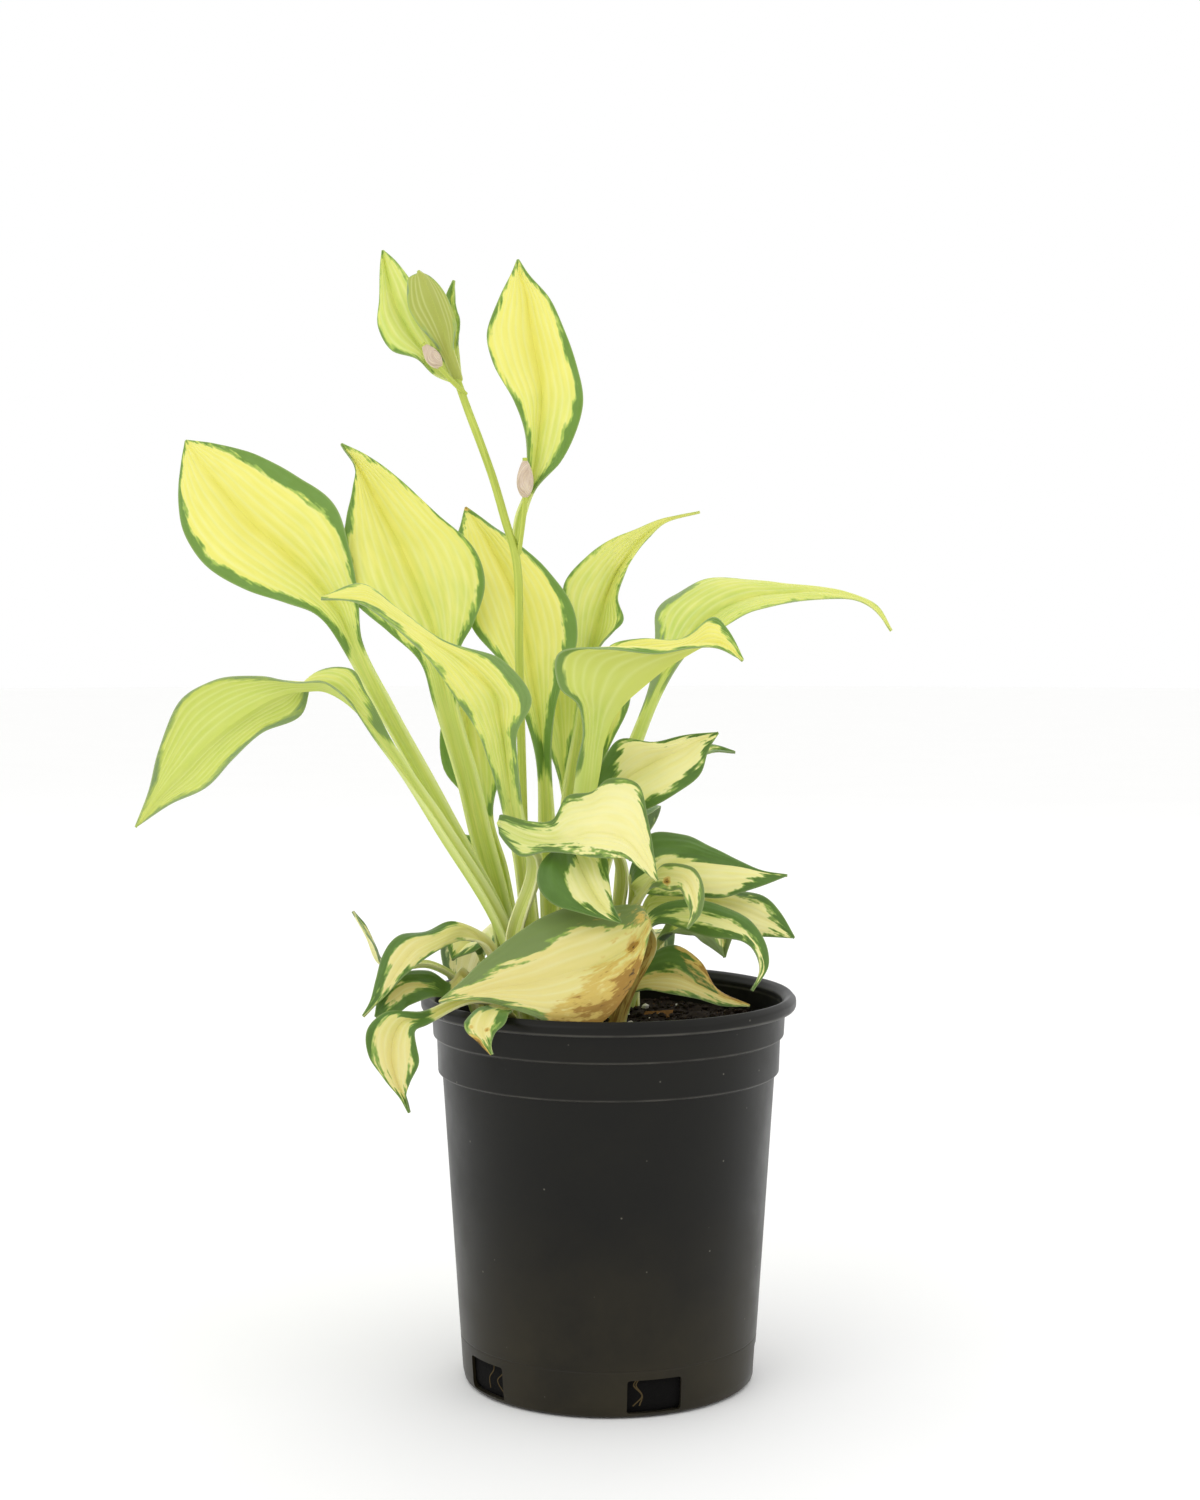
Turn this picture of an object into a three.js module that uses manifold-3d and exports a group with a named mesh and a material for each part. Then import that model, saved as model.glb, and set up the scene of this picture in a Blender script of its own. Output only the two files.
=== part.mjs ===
// A hosta with variegated leaves growing in a black nursery pot.
// Millimetres, +Z up. The origin is the middle of the pot's underside and -Y is the front.
import * as THREE from "three";
import { mergeVertices } from "three/addons/utils/BufferGeometryUtils.js";
import ManifoldModule from "manifold-3d";

const wasm = await ManifoldModule();
wasm.setup();

// ---- Pot: a 6.5 inch thin-walled nursery pot ----
const POT_HEIGHT = 172;
const LIP_RADIUS = 83;
const LIP_DEPTH = 6.5;
const LIP_ROUNDING = 2;
const LIP_WIDTH = 3.6;
const UPPER_COLLAR = { radius: 78.2, bottomRadius: 77.6, bottom: 153.7 };
const LOWER_COLLAR = { radius: 76, bottomRadius: 75.5, bottom: 137.5 };
const COLLAR_SLANT = 0.5;
const BODY_TOP_RADIUS = 73.6;
const BODY_FOOT_RADIUS = 65;
const FOOT_ROUNDING = 5;
const FOOT_CHAMFER = { reach: 2.6, width: 0.8, height: 1.2 };
const WALL = 1.5;
const POT_FLOOR = 1.8;
const FLOOR_FILLET = 1.5;
const POT_SIDES = 36;
const DRAIN = { width: 24, height: 14.5, bottom: 2.2, depth: 20, count: 5, firstBearing: 17.3 };

// ---- Soil ----
const CLEARANCE = 0.35;
const SOIL_TOP = 156.5;
const SOIL_MOUND = 2.5;
const SOIL_LUMP = 0.9;
const LUMPS = { alongX: 0.21, alongY: 0.17, slanting: 0.13, slant: 1.6, shift: 1.3 };
const SOIL_RINGS = 4;
const FOOT_HOLE = { clearance: 0.8, sides: 7, length: 26, below: 1 };
const FOOT_DEPTH = 10;

// ---- Leaf sheet, shared by every leaf ----
// The edges of the stalk's channel stand to the side of the midrib and above it, as shares of
// half the stalk's flat width.
const STALK_EDGE = { side: 0.62, up: 0.6 };
const STALK_THICKNESS = { ribShare: 0.46, margin: 0.9 };
const BLADE_THICKNESS = { rib: 1.1, margin: 0.75 };
const TIP_HALF_WIDTH = 0.6;
// A half of the sheet bulges down in the stalk and up in the blade, as shares of its width.
const STALK_BULGE = -0.22;
const WAVES = 2.5;
// The outline of a plain blade: how far its widest place is moved to the base, how full it is,
// and how far its halves rise.
const OVAL = { towardsBase: 0.75, fullness: 0.8, rise: 15 };
const TALL_MESH = { stalkRows: 1, bladeRows: 2, across: 6 };
const SMALL_MESH = { stalkRows: 1, bladeRows: 2, across: 4 };
const BRACT_MESH = { stalkRows: 1, bladeRows: 2, across: 4 };

// Every leaf is one sheet, a channelled stalk that opens into the blade, between three lines:
//   rib          the midrib from the foot in the soil to the tip
//   left, right  the margins of the blade seen from its upper side with the tip up, a point for
//                each point of the midrib from the blade's base up to the one before the tip
//   bearing      where the stalk's channel opens at the foot; 0 is the front and 90 is +X
//   stalk        half the flat width of the stalk
//   bulge        how far each half of the blade bulges up, as a share of its width
//   wave         height of the waves along the margin
// A plain blade has no margins of its own. It has these instead:
//   base, width  the midrib's point where the blade starts, and the greatest width
//   face         where the upper side looks, as [bearing, rise] in degrees, at foot, base and tip
const LEAF_DEFAULTS = { stalk: 5.5, bulge: 0.12, wave: 1.2 };
const SMALL_STALK = 4;
const BRACT_STALK = 2.6;

const UPPER_LEAVES = [
  {
    name: "leaf_upper_left",
    rib: [[-37, -5, 147], [-45, -4, 193], [-75, -1, 253], [-99, 8, 296], [-113, 14, 323],
      [-119, 17, 337], [-130, 23, 352], [-145, 31, 366], [-162, 40, 380], [-178, 50, 397],
      [-190, 60, 411], [-196, 66, 419]],
    left: [[-117, 11, 322], [-129, 11, 338], [-144, 14, 344], [-163, 20, 350], [-181, 30, 360],
      [-194, 43, 377], [-198, 57, 399]],
    right: [[-110, 12, 327], [-111, 12, 345], [-115, 15, 366], [-122, 22, 387], [-139, 32, 400],
      [-160, 44, 411], [-181, 57, 417]],
    bearing: 60,
  },
  {
    name: "leaf_upper_middle",
    rib: [[-42, 5, 147], [-48, 6, 203], [-58, 10, 243], [-63, 12, 265], [-72, 12, 301],
      [-75, 15, 317], [-78, 18, 332], [-85, 24, 350], [-93, 31, 368], [-102, 38, 384],
      [-110, 46, 398], [-116, 52, 408], [-123, 58, 417]],
    left: [[-78, 8, 301], [-84, 10, 318], [-98, 12, 331], [-115, 14, 347], [-119, 20, 363],
      [-118, 28, 381], [-116, 38, 396], [-116, 49, 407]],
    right: [[-68, 9, 304], [-66, 11, 323], [-60, 12, 335], [-55, 16, 352], [-60, 22, 368],
      [-77, 29, 384], [-96, 39, 401], [-110, 49, 411]],
    bearing: 20, stalk: 7,
  },
  {
    name: "leaf_arching_middle",
    rib: [[-28, -12, 147], [-34, -14, 201], [-38, -18, 237], [-42, -20, 256], [-44, -24, 274],
      [-46, -29, 290], [-49, -35, 305], [-61, -42, 318], [-75, -48, 328], [-90, -52, 338],
      [-102, -55, 345], [-120, -57, 346]],
    left: [[-46, -23, 255], [-51, -29, 274], [-56, -37, 289], [-64, -44, 302], [-72, -51, 315],
      [-81, -55, 326], [-93, -57, 337], [-105, -58, 344]],
    right: [[-38, -23, 258], [-39, -28, 274], [-39, -33, 288], [-33, -36, 303], [-46, -37, 320],
      [-69, -41, 328], [-87, -44, 340], [-104, -49, 352]],
    bearing: 0,
  },
  {
    name: "leaf_drooping_left",
    rib: [[-38, -17, 147], [-45, -16, 196], [-73, -16, 245], [-97, -20, 284], [-110, -24, 299],
      [-120, -26, 306], [-130, -27, 307], [-142, -29, 304], [-156, -31, 296], [-170, -33, 285],
      [-183, -34, 272], [-194, -33, 260], [-203, -31, 248]],
    left: [[-100, -24, 285], [-113, -31, 303], [-122, -35, 310], [-133, -36, 311], [-148, -35, 313],
      [-168, -35, 311], [-182, -36, 303], [-192, -36, 281], [-197, -35, 263]],
    right: [[-95, -16, 285], [-104, -19, 303], [-111, -18, 316], [-127, -14, 314], [-133, -20, 295],
      [-149, -26, 288], [-161, -31, 277], [-172, -34, 265], [-187, -33, 258]],
    bearing: 70,
  },
  {
    name: "leaf_upper_centre",
    rib: [[-25, 8, 147], [-26, 10, 198], [-27, 12, 234], [-29, 17, 274], [-31, 21, 291],
      [-34, 25, 309], [-37, 30, 327], [-42, 37, 345], [-49, 44, 360], [-56, 51, 373],
      [-62, 57, 382], [-66, 61, 388]],
    left: [[-32, 14, 273], [-39, 16, 297], [-48, 17, 317], [-60, 21, 331], [-67, 28, 346],
      [-70, 37, 360], [-70, 47, 372], [-68, 55, 380]],
    right: [[-26, 14, 276], [-23, 17, 300], [-18, 19, 315], [-14, 22, 327], [-16, 28, 342],
      [-26, 37, 357], [-41, 46, 371], [-54, 55, 380]],
    bearing: 5,
  },
  {
    name: "leaf_upper_right",
    rib: [[-21, 20, 147], [-20, 20, 197], [-19, 24, 232], [-16, 30, 262], [-12, 36, 297],
      [-9, 42, 315], [-6, 47, 329], [-2, 53, 343], [3, 59, 356], [10, 64, 367], [17, 68, 375],
      [27, 72, 382], [43, 74, 386]],
    left: [[-14, 33, 297], [-17, 36, 320], [-20, 38, 340], [-20, 44, 353], [-10, 51, 365],
      [1, 59, 373], [13, 65, 378], [25, 71, 383]],
    right: [[-9, 34, 300], [-4, 37, 325], [7, 40, 336], [4, 47, 346], [7, 54, 356], [12, 61, 365],
      [19, 67, 374], [27, 72, 381]],
    bearing: -20,
  },
  {
    name: "leaf_far_right",
    rib: [[-15, 10, 147], [-11, 14, 211], [2, 20, 253], [21, 32, 304], [32, 38, 321], [42, 43, 333],
      [52, 47, 341], [65, 51, 346], [81, 54, 348], [98, 56, 349], [112, 57, 347], [123, 57, 342],
      [131, 56, 331]],
    left: [[18, 30, 304], [21, 35, 327], [22, 42, 340], [32, 51, 349], [45, 59, 355], [66, 62, 354],
      [88, 62, 352], [106, 61, 350], [124, 58, 343]],
    right: [[24, 30, 303], [36, 34, 321], [52, 35, 333], [63, 38, 339], [75, 43, 342],
      [88, 48, 345], [102, 52, 346], [114, 55, 345], [122, 56, 341]],
    bearing: -30,
  },
  {
    name: "leaf_arching_right",
    rib: [[-20, -8, 147], [-18, -12, 201], [-13, -14, 236], [-6, -18, 268], [-3, -22, 283],
      [1, -26, 294], [7, -30, 302], [15, -34, 310], [25, -39, 318], [35, -44, 324], [43, -48, 327],
      [49, -52, 326], [56, -55, 320]],
    left: [[-5, -14, 269], [-2, -14, 286], [-1, -14, 302], [-3, -16, 316], [0, -20, 325],
      [14, -26, 328], [31, -33, 329], [44, -41, 338], [50, -48, 333]],
    right: [[-14, -21, 271], [-11, -28, 287], [-14, -35, 301], [-21, -41, 308], [-21, -46, 322],
      [-3, -49, 325], [20, -51, 323], [35, -53, 325], [45, -55, 325]],
    bearing: -40,
  },
];

const LOWER_LEAVES = [
  {
    name: "leaf_inner_left",
    rib: [[-40, 27, 147], [-44, 30, 195], [-49, 34, 222], [-56, 40, 247], [-62, 46, 269],
      [-65, 52, 292], [-64, 58, 308]],
    base: 3, width: 30, face: [[0, 10], [10, 10], [10, 30]],
  },
  {
    name: "leaf_inner_small",
    rib: [[-35, 17, 147], [-47, 20, 197], [-53, 24, 219], [-59, 26, 232], [-66, 28, 239]],
    base: 2, width: 14, face: [[0, 10], [0, 10], [0, 40]],
  },
  {
    name: "leaf_right_cream",
    rib: [[-5, 27, 147], [2, 24, 190], [7, 17, 224], [-3, 8, 247], [1, 4, 258], [9, 0, 267],
      [20, -3, 274], [31, -5, 279], [40, -6, 284], [48, -7, 287]],
    left: [[-5, 6, 250], [-6, 1, 265], [-2, -2, 276], [5, -4, 284], [20, -5, 283], [33, -6, 286]],
    right: [[0, 5, 245], [10, -3, 251], [20, -9, 255], [30, -11, 261], [40, -10, 269],
      [44, -8, 280]],
    bearing: -60,
  },
  {
    name: "leaf_right_tip",
    rib: [[-5, 36, 147], [-4, 38, 208], [8, 40, 245], [26, 42, 266], [44, 42, 276], [58, 40, 276]],
    base: 2, width: 16, face: [[-60, 20], [-20, 50], [0, 75]],
  },
  {
    name: "leaf_front_curled",
    rib: [[-30, -20, 147], [-40, -33, 198], [-31, -36, 235], [-43, -36, 248], [-34, -42, 245],
      [-24, -47, 244], [-15, -52, 246], [-7, -57, 248], [1, -61, 248], [8, -65, 245],
      [14, -68, 238], [20, -70, 229]],
    left: [[-47, -33, 253], [-34, -38, 251], [-24, -43, 252], [-18, -42, 262], [-7, -45, 264],
      [0, -47, 270], [12, -55, 268], [16, -64, 254]],
    right: [[-47, -38, 246], [-38, -47, 237], [-27, -51, 239], [-16, -58, 239], [-7, -63, 238],
      [0, -67, 238], [7, -69, 238], [14, -70, 233]],
    bearing: 0, stalk: 5, wave: 0,
  },
  {
    name: "leaf_front_small",
    rib: [[-11, -16, 147], [-13, -22, 188], [-16, -28, 222], [-16, -38, 240], [-13, -43, 234],
      [-10, -48, 228], [-6, -52, 221], [-1, -55, 215], [5, -57, 210]],
    left: [[-10, -40, 241], [-1, -46, 236], [0, -51, 229], [1, -54, 222], [2, -56, 217]],
    right: [[-22, -40, 239], [-29, -48, 234], [-30, -54, 225], [-24, -57, 218], [-12, -58, 214]],
    bearing: 180, wave: 0,
  },
  {
    name: "leaf_right_green",
    rib: [[4, 23, 147], [9, 22, 183], [12, 16, 212], [10, 4, 219], [21, 0, 226], [33, -3, 229],
      [45, -6, 229], [58, -9, 228], [68, -11, 226], [78, -13, 225]],
    left: [[10, 10, 227], [19, 10, 241], [34, 7, 241], [46, 0, 236], [57, -6, 231], [67, -10, 227]],
    right: [[14, 1, 215], [25, -5, 215], [37, -9, 215], [50, -12, 215], [60, -13, 218],
      [69, -13, 221]],
    bearing: -90, wave: 0,
  },
  {
    name: "leaf_right_pale",
    rib: [[4, 13, 147], [11, 13, 175], [15, 10, 196], [18, 4, 210], [34, 1, 211], [49, -4, 211],
      [61, -9, 208], [71, -13, 204], [81, -16, 198]],
    left: [[19, 9, 215], [37, 7, 217], [55, 2, 217], [68, -5, 215], [75, -11, 209]],
    right: [[19, 1, 206], [32, -3, 202], [46, -8, 198], [59, -12, 198], [70, -14, 198]],
    bearing: -90, wave: 0,
  },
  {
    name: "leaf_right_drooping",
    rib: [[-2, 3, 147], [6, -2, 177], [10, -7, 190], [20, -10, 206], [35, -18, 208], [48, -27, 207],
      [58, -34, 203], [64, -40, 196], [66, -43, 188], [61, -44, 179]],
    left: [[20, -6, 210], [36, -12, 214], [49, -21, 213], [61, -30, 207], [68, -38, 196],
      [68, -42, 189]],
    right: [[20, -12, 203], [34, -22, 202], [46, -32, 200], [57, -37, 199], [62, -42, 196],
      [64, -44, 188]],
    bearing: -90,
  },
  {
    name: "leaf_curled_cream",
    rib: [[-7, -6, 147], [0, -14, 178], [8, -22, 204], [18, -34, 225], [25, -42, 228],
      [32, -48, 227], [35, -52, 222], [36, -54, 214], [33, -55, 207]],
    left: [[19, -31, 228], [26, -40, 233], [36, -48, 232], [40, -52, 224], [39, -54, 214]],
    right: [[18, -36, 222], [25, -45, 222], [30, -51, 223], [32, -54, 219], [34, -54, 213]],
    bearing: -110,
  },
  {
    name: "leaf_right_shaded",
    rib: [[7, 34, 147], [14, 33, 172], [25, 33, 191], [38, 32, 198], [50, 31, 194], [53, 28, 183]],
    base: 2, width: 26, face: [[-90, 20], [-60, 70], [10, 20]],
  },
  {
    name: "leaf_front_large",
    rib: [[-1, -16, 147], [8, -22, 176], [17, -30, 196], [17, -46, 210], [11, -52, 201],
      [-1, -57, 194], [-16, -61, 190], [-31, -64, 186], [-45, -66, 184], [-60, -67, 181],
      [-71, -66, 178]],
    left: [[18, -49, 206], [14, -60, 194], [9, -67, 184], [-3, -70, 170], [-18, -72, 168],
      [-35, -72, 174], [-55, -69, 179]],
    right: [[14, -40, 215], [1, -40, 215], [-12, -41, 216], [-26, -46, 212], [-40, -53, 204],
      [-51, -59, 196], [-62, -64, 186]],
    bearing: 180, wave: 0,
  },
  {
    name: "leaf_right_front",
    rib: [[4, -7, 147], [7, -10, 165], [11, -12, 178], [8, -14, 177], [17, -16, 180],
      [28, -20, 182], [39, -24, 178], [49, -27, 174], [61, -28, 170]],
    left: [[7, -11, 180], [16, -8, 188], [28, -11, 194], [40, -19, 188], [47, -25, 177]],
    right: [[6, -16, 173], [16, -22, 176], [27, -27, 175], [39, -29, 173], [49, -29, 170]],
    bearing: -90, wave: 0,
  },
  {
    name: "leaf_over_rim",
    rib: [[-24, -26, 147], [-29, -44, 167], [-37, -56, 175], [-47, -70, 176], [-50, -80, 174],
      [-52, -86, 169], [-50, -89, 165], [-48, -90, 160]],
    left: [[-41, -72, 175], [-42, -82, 173], [-46, -87, 169], [-48, -90, 165]],
    right: [[-52, -68, 176], [-59, -78, 173], [-59, -84, 169], [-54, -88, 165]],
    bearing: 135, stalk: 3,
  },
  {
    name: "leaf_hanging_left",
    rib: [[-35, -26, 147], [-44, -42, 170], [-59, -50, 176], [-78, -58, 170], [-86, -61, 169],
      [-90, -63, 163], [-91, -64, 154], [-89, -63, 144], [-86, -62, 137], [-84, -61, 130]],
    left: [[-76, -61, 168], [-81, -66, 165], [-80, -69, 159], [-79, -70, 153], [-83, -67, 144],
      [-85, -63, 137]],
    right: [[-79, -59, 172], [-94, -62, 173], [-101, -66, 166], [-100, -68, 155], [-94, -66, 145],
      [-88, -63, 137]],
    bearing: 135, stalk: 3,
  },
  {
    name: "leaf_left_cream",
    rib: [[-44, -24, 147], [-47, -24, 180], [-54, -26, 197], [-63, -28, 204], [-73, -33, 201],
      [-83, -37, 196], [-89, -40, 189], [-94, -42, 181], [-99, -43, 174], [-105, -43, 168]],
    left: [[-63, -30, 199], [-74, -37, 194], [-82, -41, 190], [-87, -42, 185], [-93, -43, 179],
      [-98, -43, 174]],
    right: [[-67, -24, 206], [-78, -27, 203], [-90, -30, 201], [-97, -34, 193], [-100, -38, 183],
      [-102, -41, 174]],
    bearing: 90,
  },
  {
    name: "leaf_left_sliver",
    rib: [[-56, 5, 147], [-65, 1, 174], [-79, -4, 184], [-92, -10, 184], [-100, -14, 187],
      [-105, -17, 199], [-111, -18, 210]],
    base: 3, width: 11, stalk: 3, face: [[90, 20], [90, 70], [90, 10]],
  },
  {
    name: "leaf_left_dark",
    rib: [[-53, -14, 147], [-59, -18, 172], [-64, -21, 182], [-69, -24, 176], [-78, -28, 179],
      [-87, -31, 180], [-92, -34, 177], [-96, -37, 173], [-100, -39, 167]],
    left: [[-69, -26, 174], [-77, -32, 174], [-85, -36, 172], [-89, -38, 169], [-95, -39, 168]],
    right: [[-70, -21, 179], [-78, -23, 185], [-89, -26, 184], [-96, -31, 180], [-99, -35, 175]],
    bearing: 90,
  },
  {
    name: "leaf_left_shaded",
    rib: [[-53, 16, 147], [-55, 14, 177], [-58, 10, 188], [-62, 5, 193], [-65, 0, 191],
      [-69, -5, 187]],
    base: 2, width: 22, stalk: 3, face: [[90, 20], [90, 70], [-20, 40]],
  },
  {
    name: "leaf_back_tall",
    rib: [[-20, 33, 147], [-18, 40, 200], [-20, 52, 262], [-28, 68, 312], [-42, 90, 343],
      [-57, 116, 350], [-70, 140, 334]],
    base: 2, width: 46, face: [[0, 10], [0, 40], [190, 50]],
  },
  {
    name: "leaf_back_bent",
    rib: [[-13, 41, 147], [-11, 49, 206], [-7, 62, 262], [-5, 80, 293], [-3, 104, 299],
      [0, 126, 286]],
    base: 2, width: 32, face: [[0, 10], [0, 50], [180, 50]],
  },
  {
    name: "leaf_back_low",
    rib: [[2, 45, 147], [5, 51, 200], [6, 63, 234], [8, 84, 244], [10, 104, 236], [11, 120, 218]],
    base: 2, width: 34, face: [[0, 20], [0, 60], [170, 50]],
  },
  {
    name: "leaf_back_rim_left",
    rib: [[-44, 38, 147], [-49, 50, 172], [-54, 64, 183], [-59, 78, 186], [-64, 93, 181],
      [-69, 106, 166], [-71, 113, 147]],
    base: 2, width: 34, stalk: 3, face: [[0, 20], [-40, 70], [-150, 20]],
  },
  {
    name: "leaf_back_rim_right",
    rib: [[12, 44, 147], [12, 56, 172], [13, 68, 183], [15, 82, 186], [17, 97, 180], [19, 109, 164],
      [20, 115, 146]],
    base: 2, width: 32, stalk: 3, face: [[0, 20], [0, 70], [170, 20]],
  },
];

// ---- Flower scape ----
const SCAPE = {
  stem: [[-30, -2, 147], [-35, -3, 200], [-37, -5, 235], [-38, -8, 275], [-39, -10, 319],
    [-40, -12, 362], [-45, -12, 380], [-50, -11, 397], [-56, -10, 414], [-61, -9, 427],
    [-66, -7, 441]],
  radius: 1.9,
  sides: 8,
  steps: 20,
};

// Leafy bracts, each a small leaf with a very short stalk that clasps the stem.
const BRACTS = [
  {
    rib: [[-40, -12, 369], [-38, -13, 381], [-34, -13, 393], [-32, -12, 404], [-30, -10, 419],
      [-29, -6, 433], [-31, -1, 447], [-34, 4, 463], [-36, 8, 478], [-39, 11, 488], [-40, 13, 495]],
    left: [[-36, -15, 392], [-35, -16, 406], [-36, -16, 417], [-41, -14, 431], [-50, -10, 447],
      [-53, -4, 461], [-48, 3, 477], [-43, 9, 488]],
    right: [[-32, -15, 393], [-21, -16, 404], [-14, -17, 418], [-11, -15, 431], [-14, -10, 447],
      [-19, -4, 462], [-26, 3, 477], [-35, 9, 488]],
    bearing: -20,
  },
  {
    rib: [[-65, -6, 440], [-73, -8, 445], [-81, -7, 454], [-88, -5, 464], [-93, -2, 474],
      [-96, 2, 484], [-98, 5, 492], [-99, 6, 498]],
    left: [[-76, -11, 443], [-83, -11, 449], [-94, -10, 453], [-100, -8, 463], [-100, -3, 476],
      [-100, 2, 489]],
    right: [[-70, -9, 448], [-74, -9, 455], [-77, -8, 465], [-80, -6, 475], [-86, -2, 484],
      [-93, 2, 493]],
    bearing: 30,
  },
  {
    rib: [[-65, -7, 440], [-69, -12, 452], [-72, -16, 463], [-75, -18, 471], [-78, -17, 479],
      [-80, -15, 484], [-82, -13, 486]],
    left: [[-67, -11, 454], [-66, -11, 464], [-68, -11, 471], [-72, -11, 479], [-77, -12, 484]],
    right: [[-73, -11, 453], [-81, -12, 462], [-86, -12, 470], [-87, -12, 479], [-86, -12, 484]],
    bearing: 200,
  },
  {
    rib: [[-65, -5, 440], [-67, 0, 454], [-68, 3, 466], [-69, 5, 476], [-68, 6, 485]],
    left: [[-69, 0, 454], [-71, 2, 467], [-72, 4, 476]],
    right: [[-66, -1, 456], [-65, 1, 466], [-67, 3, 475]],
    bearing: -40,
  },
];

// Flower buds: a short stalk from the stem and a spindle, both along the same line.
const BUDS = [
  { line: [[-39, -12, 365], [-36, -20, 388], [-36, -22, 406]], spindle: 17.5, radius: 3.7 },
  { line: [[-62, -8, 434], [-71, -15, 443], [-80, -18, 455]], spindle: 13, radius: 3.4 },
];
const BUD_STALK = { radius: 1.1, steps: 4 };
const BUD_SIDES = 8;
// The bud's outline from foot to tip, as shares of its radius and its length.
const BUD_OUTLINE = [
  [0, 0], [0.55, 0.08], [0.95, 0.3], [1, 0.5], [0.75, 0.75], [0.35, 0.93], [0, 1],
];

const COLOURS = {
  pot: 0x2a2823, soil: 0x2c2119, upper: 0xe3e16a, lower: 0xe6dc88, scape: 0xb9c85a,
};

const degrees = THREE.MathUtils.degToRad;
const { lerp, smoothstep } = THREE.MathUtils;

// ---------------------------------------------------------------- mesh helpers

function toManifold(geometry) {
  const plain = geometry.clone();
  plain.deleteAttribute("normal");
  plain.deleteAttribute("uv");
  const merged = mergeVertices(plain, 1e-4);
  return new wasm.Manifold(new wasm.Mesh({
    numProp: 3,
    vertProperties: new Float32Array(merged.attributes.position.array),
    triVerts: new Uint32Array(merged.index.array),
  }));
}

function toGeometry(manifold) {
  const { vertProperties, triVerts } = manifold.getMesh();
  const geometry = new THREE.BufferGeometry();
  geometry.setAttribute("position", new THREE.BufferAttribute(vertProperties, 3));
  geometry.setIndex(new THREE.BufferAttribute(triVerts, 1));
  return geometry;
}

function smoothCurve(places) {
  const points = places.map((place) => new THREE.Vector3(...place));
  return new THREE.CatmullRomCurve3(points, false, "centripetal");
}

const group = new THREE.Group();

function addNode(name, geometry, color, roughness) {
  geometry.computeVertexNormals();
  const mesh = new THREE.Mesh(geometry, new THREE.MeshStandardMaterial({ color, roughness }));
  mesh.name = name;
  group.add(mesh);
}

// A profile of [radius, height] pairs turned about the Z axis.
function turned(profile, sides) {
  const points = profile.map(([radius, height]) => new THREE.Vector2(radius, height));
  return new THREE.LatheGeometry(points, sides).rotateX(Math.PI / 2);
}

// ---------------------------------------------------------------- pot and soil

const LIP_BOTTOM = POT_HEIGHT - LIP_DEPTH;

// The body and the lower collar from the foot up, and the upper collar above them.
const BODY_WALL = [
  [BODY_FOOT_RADIUS, FOOT_ROUNDING],
  [BODY_TOP_RADIUS, LOWER_COLLAR.bottom - COLLAR_SLANT],
  [LOWER_COLLAR.bottomRadius, LOWER_COLLAR.bottom],
  [LOWER_COLLAR.radius, UPPER_COLLAR.bottom - COLLAR_SLANT],
];
const OUTER_WALL = [
  ...BODY_WALL,
  [UPPER_COLLAR.bottomRadius, UPPER_COLLAR.bottom],
  [UPPER_COLLAR.radius, LIP_BOTTOM],
];

function potGeometry() {
  const lip = [
    [LIP_RADIUS - LIP_ROUNDING / 2, LIP_BOTTOM - 0.2],
    [LIP_RADIUS, LIP_BOTTOM + LIP_ROUNDING / 2],
    [LIP_RADIUS, POT_HEIGHT - LIP_ROUNDING],
    [LIP_RADIUS - 0.3 * LIP_ROUNDING, POT_HEIGHT - 0.3 * LIP_ROUNDING],
    [LIP_RADIUS - LIP_ROUNDING, POT_HEIGHT],
    [LIP_RADIUS - LIP_WIDTH, POT_HEIGHT - 0.5],
    [UPPER_COLLAR.radius - WALL, POT_HEIGHT - WALL * 2],
  ];
  const inside = OUTER_WALL.toReversed().map(([radius, height]) => [radius - WALL, height]);
  const profile = [
    [0, 0],
    [BODY_FOOT_RADIUS - FOOT_CHAMFER.reach, 0],
    [BODY_FOOT_RADIUS - FOOT_CHAMFER.width, FOOT_CHAMFER.height],
    ...OUTER_WALL,
    ...lip,
    ...inside,
    [BODY_FOOT_RADIUS - WALL - FLOOR_FILLET, POT_FLOOR],
    [0, POT_FLOOR],
  ];
  let pot = toManifold(turned(profile, POT_SIDES));
  for (let i = 0; i < DRAIN.count; i += 1) {
    const opening = new THREE.BoxGeometry(DRAIN.width, DRAIN.depth, DRAIN.height);
    opening.translate(0, -BODY_FOOT_RADIUS, DRAIN.bottom + DRAIN.height / 2);
    opening.rotateZ(degrees(DRAIN.firstBearing + i * (360 / DRAIN.count)));
    pot = pot.subtract(toManifold(opening));
  }
  return toGeometry(pot);
}

function soilSurface(x, y) {
  const inwards = Math.max(1 - (x * x + y * y) / (BODY_TOP_RADIUS * BODY_TOP_RADIUS), 0);
  const lumps = Math.sin(LUMPS.alongX * x + LUMPS.shift) * Math.cos(LUMPS.alongY * y)
    + Math.sin(LUMPS.slanting * (x - LUMPS.slant * y));
  return SOIL_TOP + SOIL_MOUND * inwards + SOIL_LUMP * lumps * Math.sqrt(inwards);
}

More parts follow.
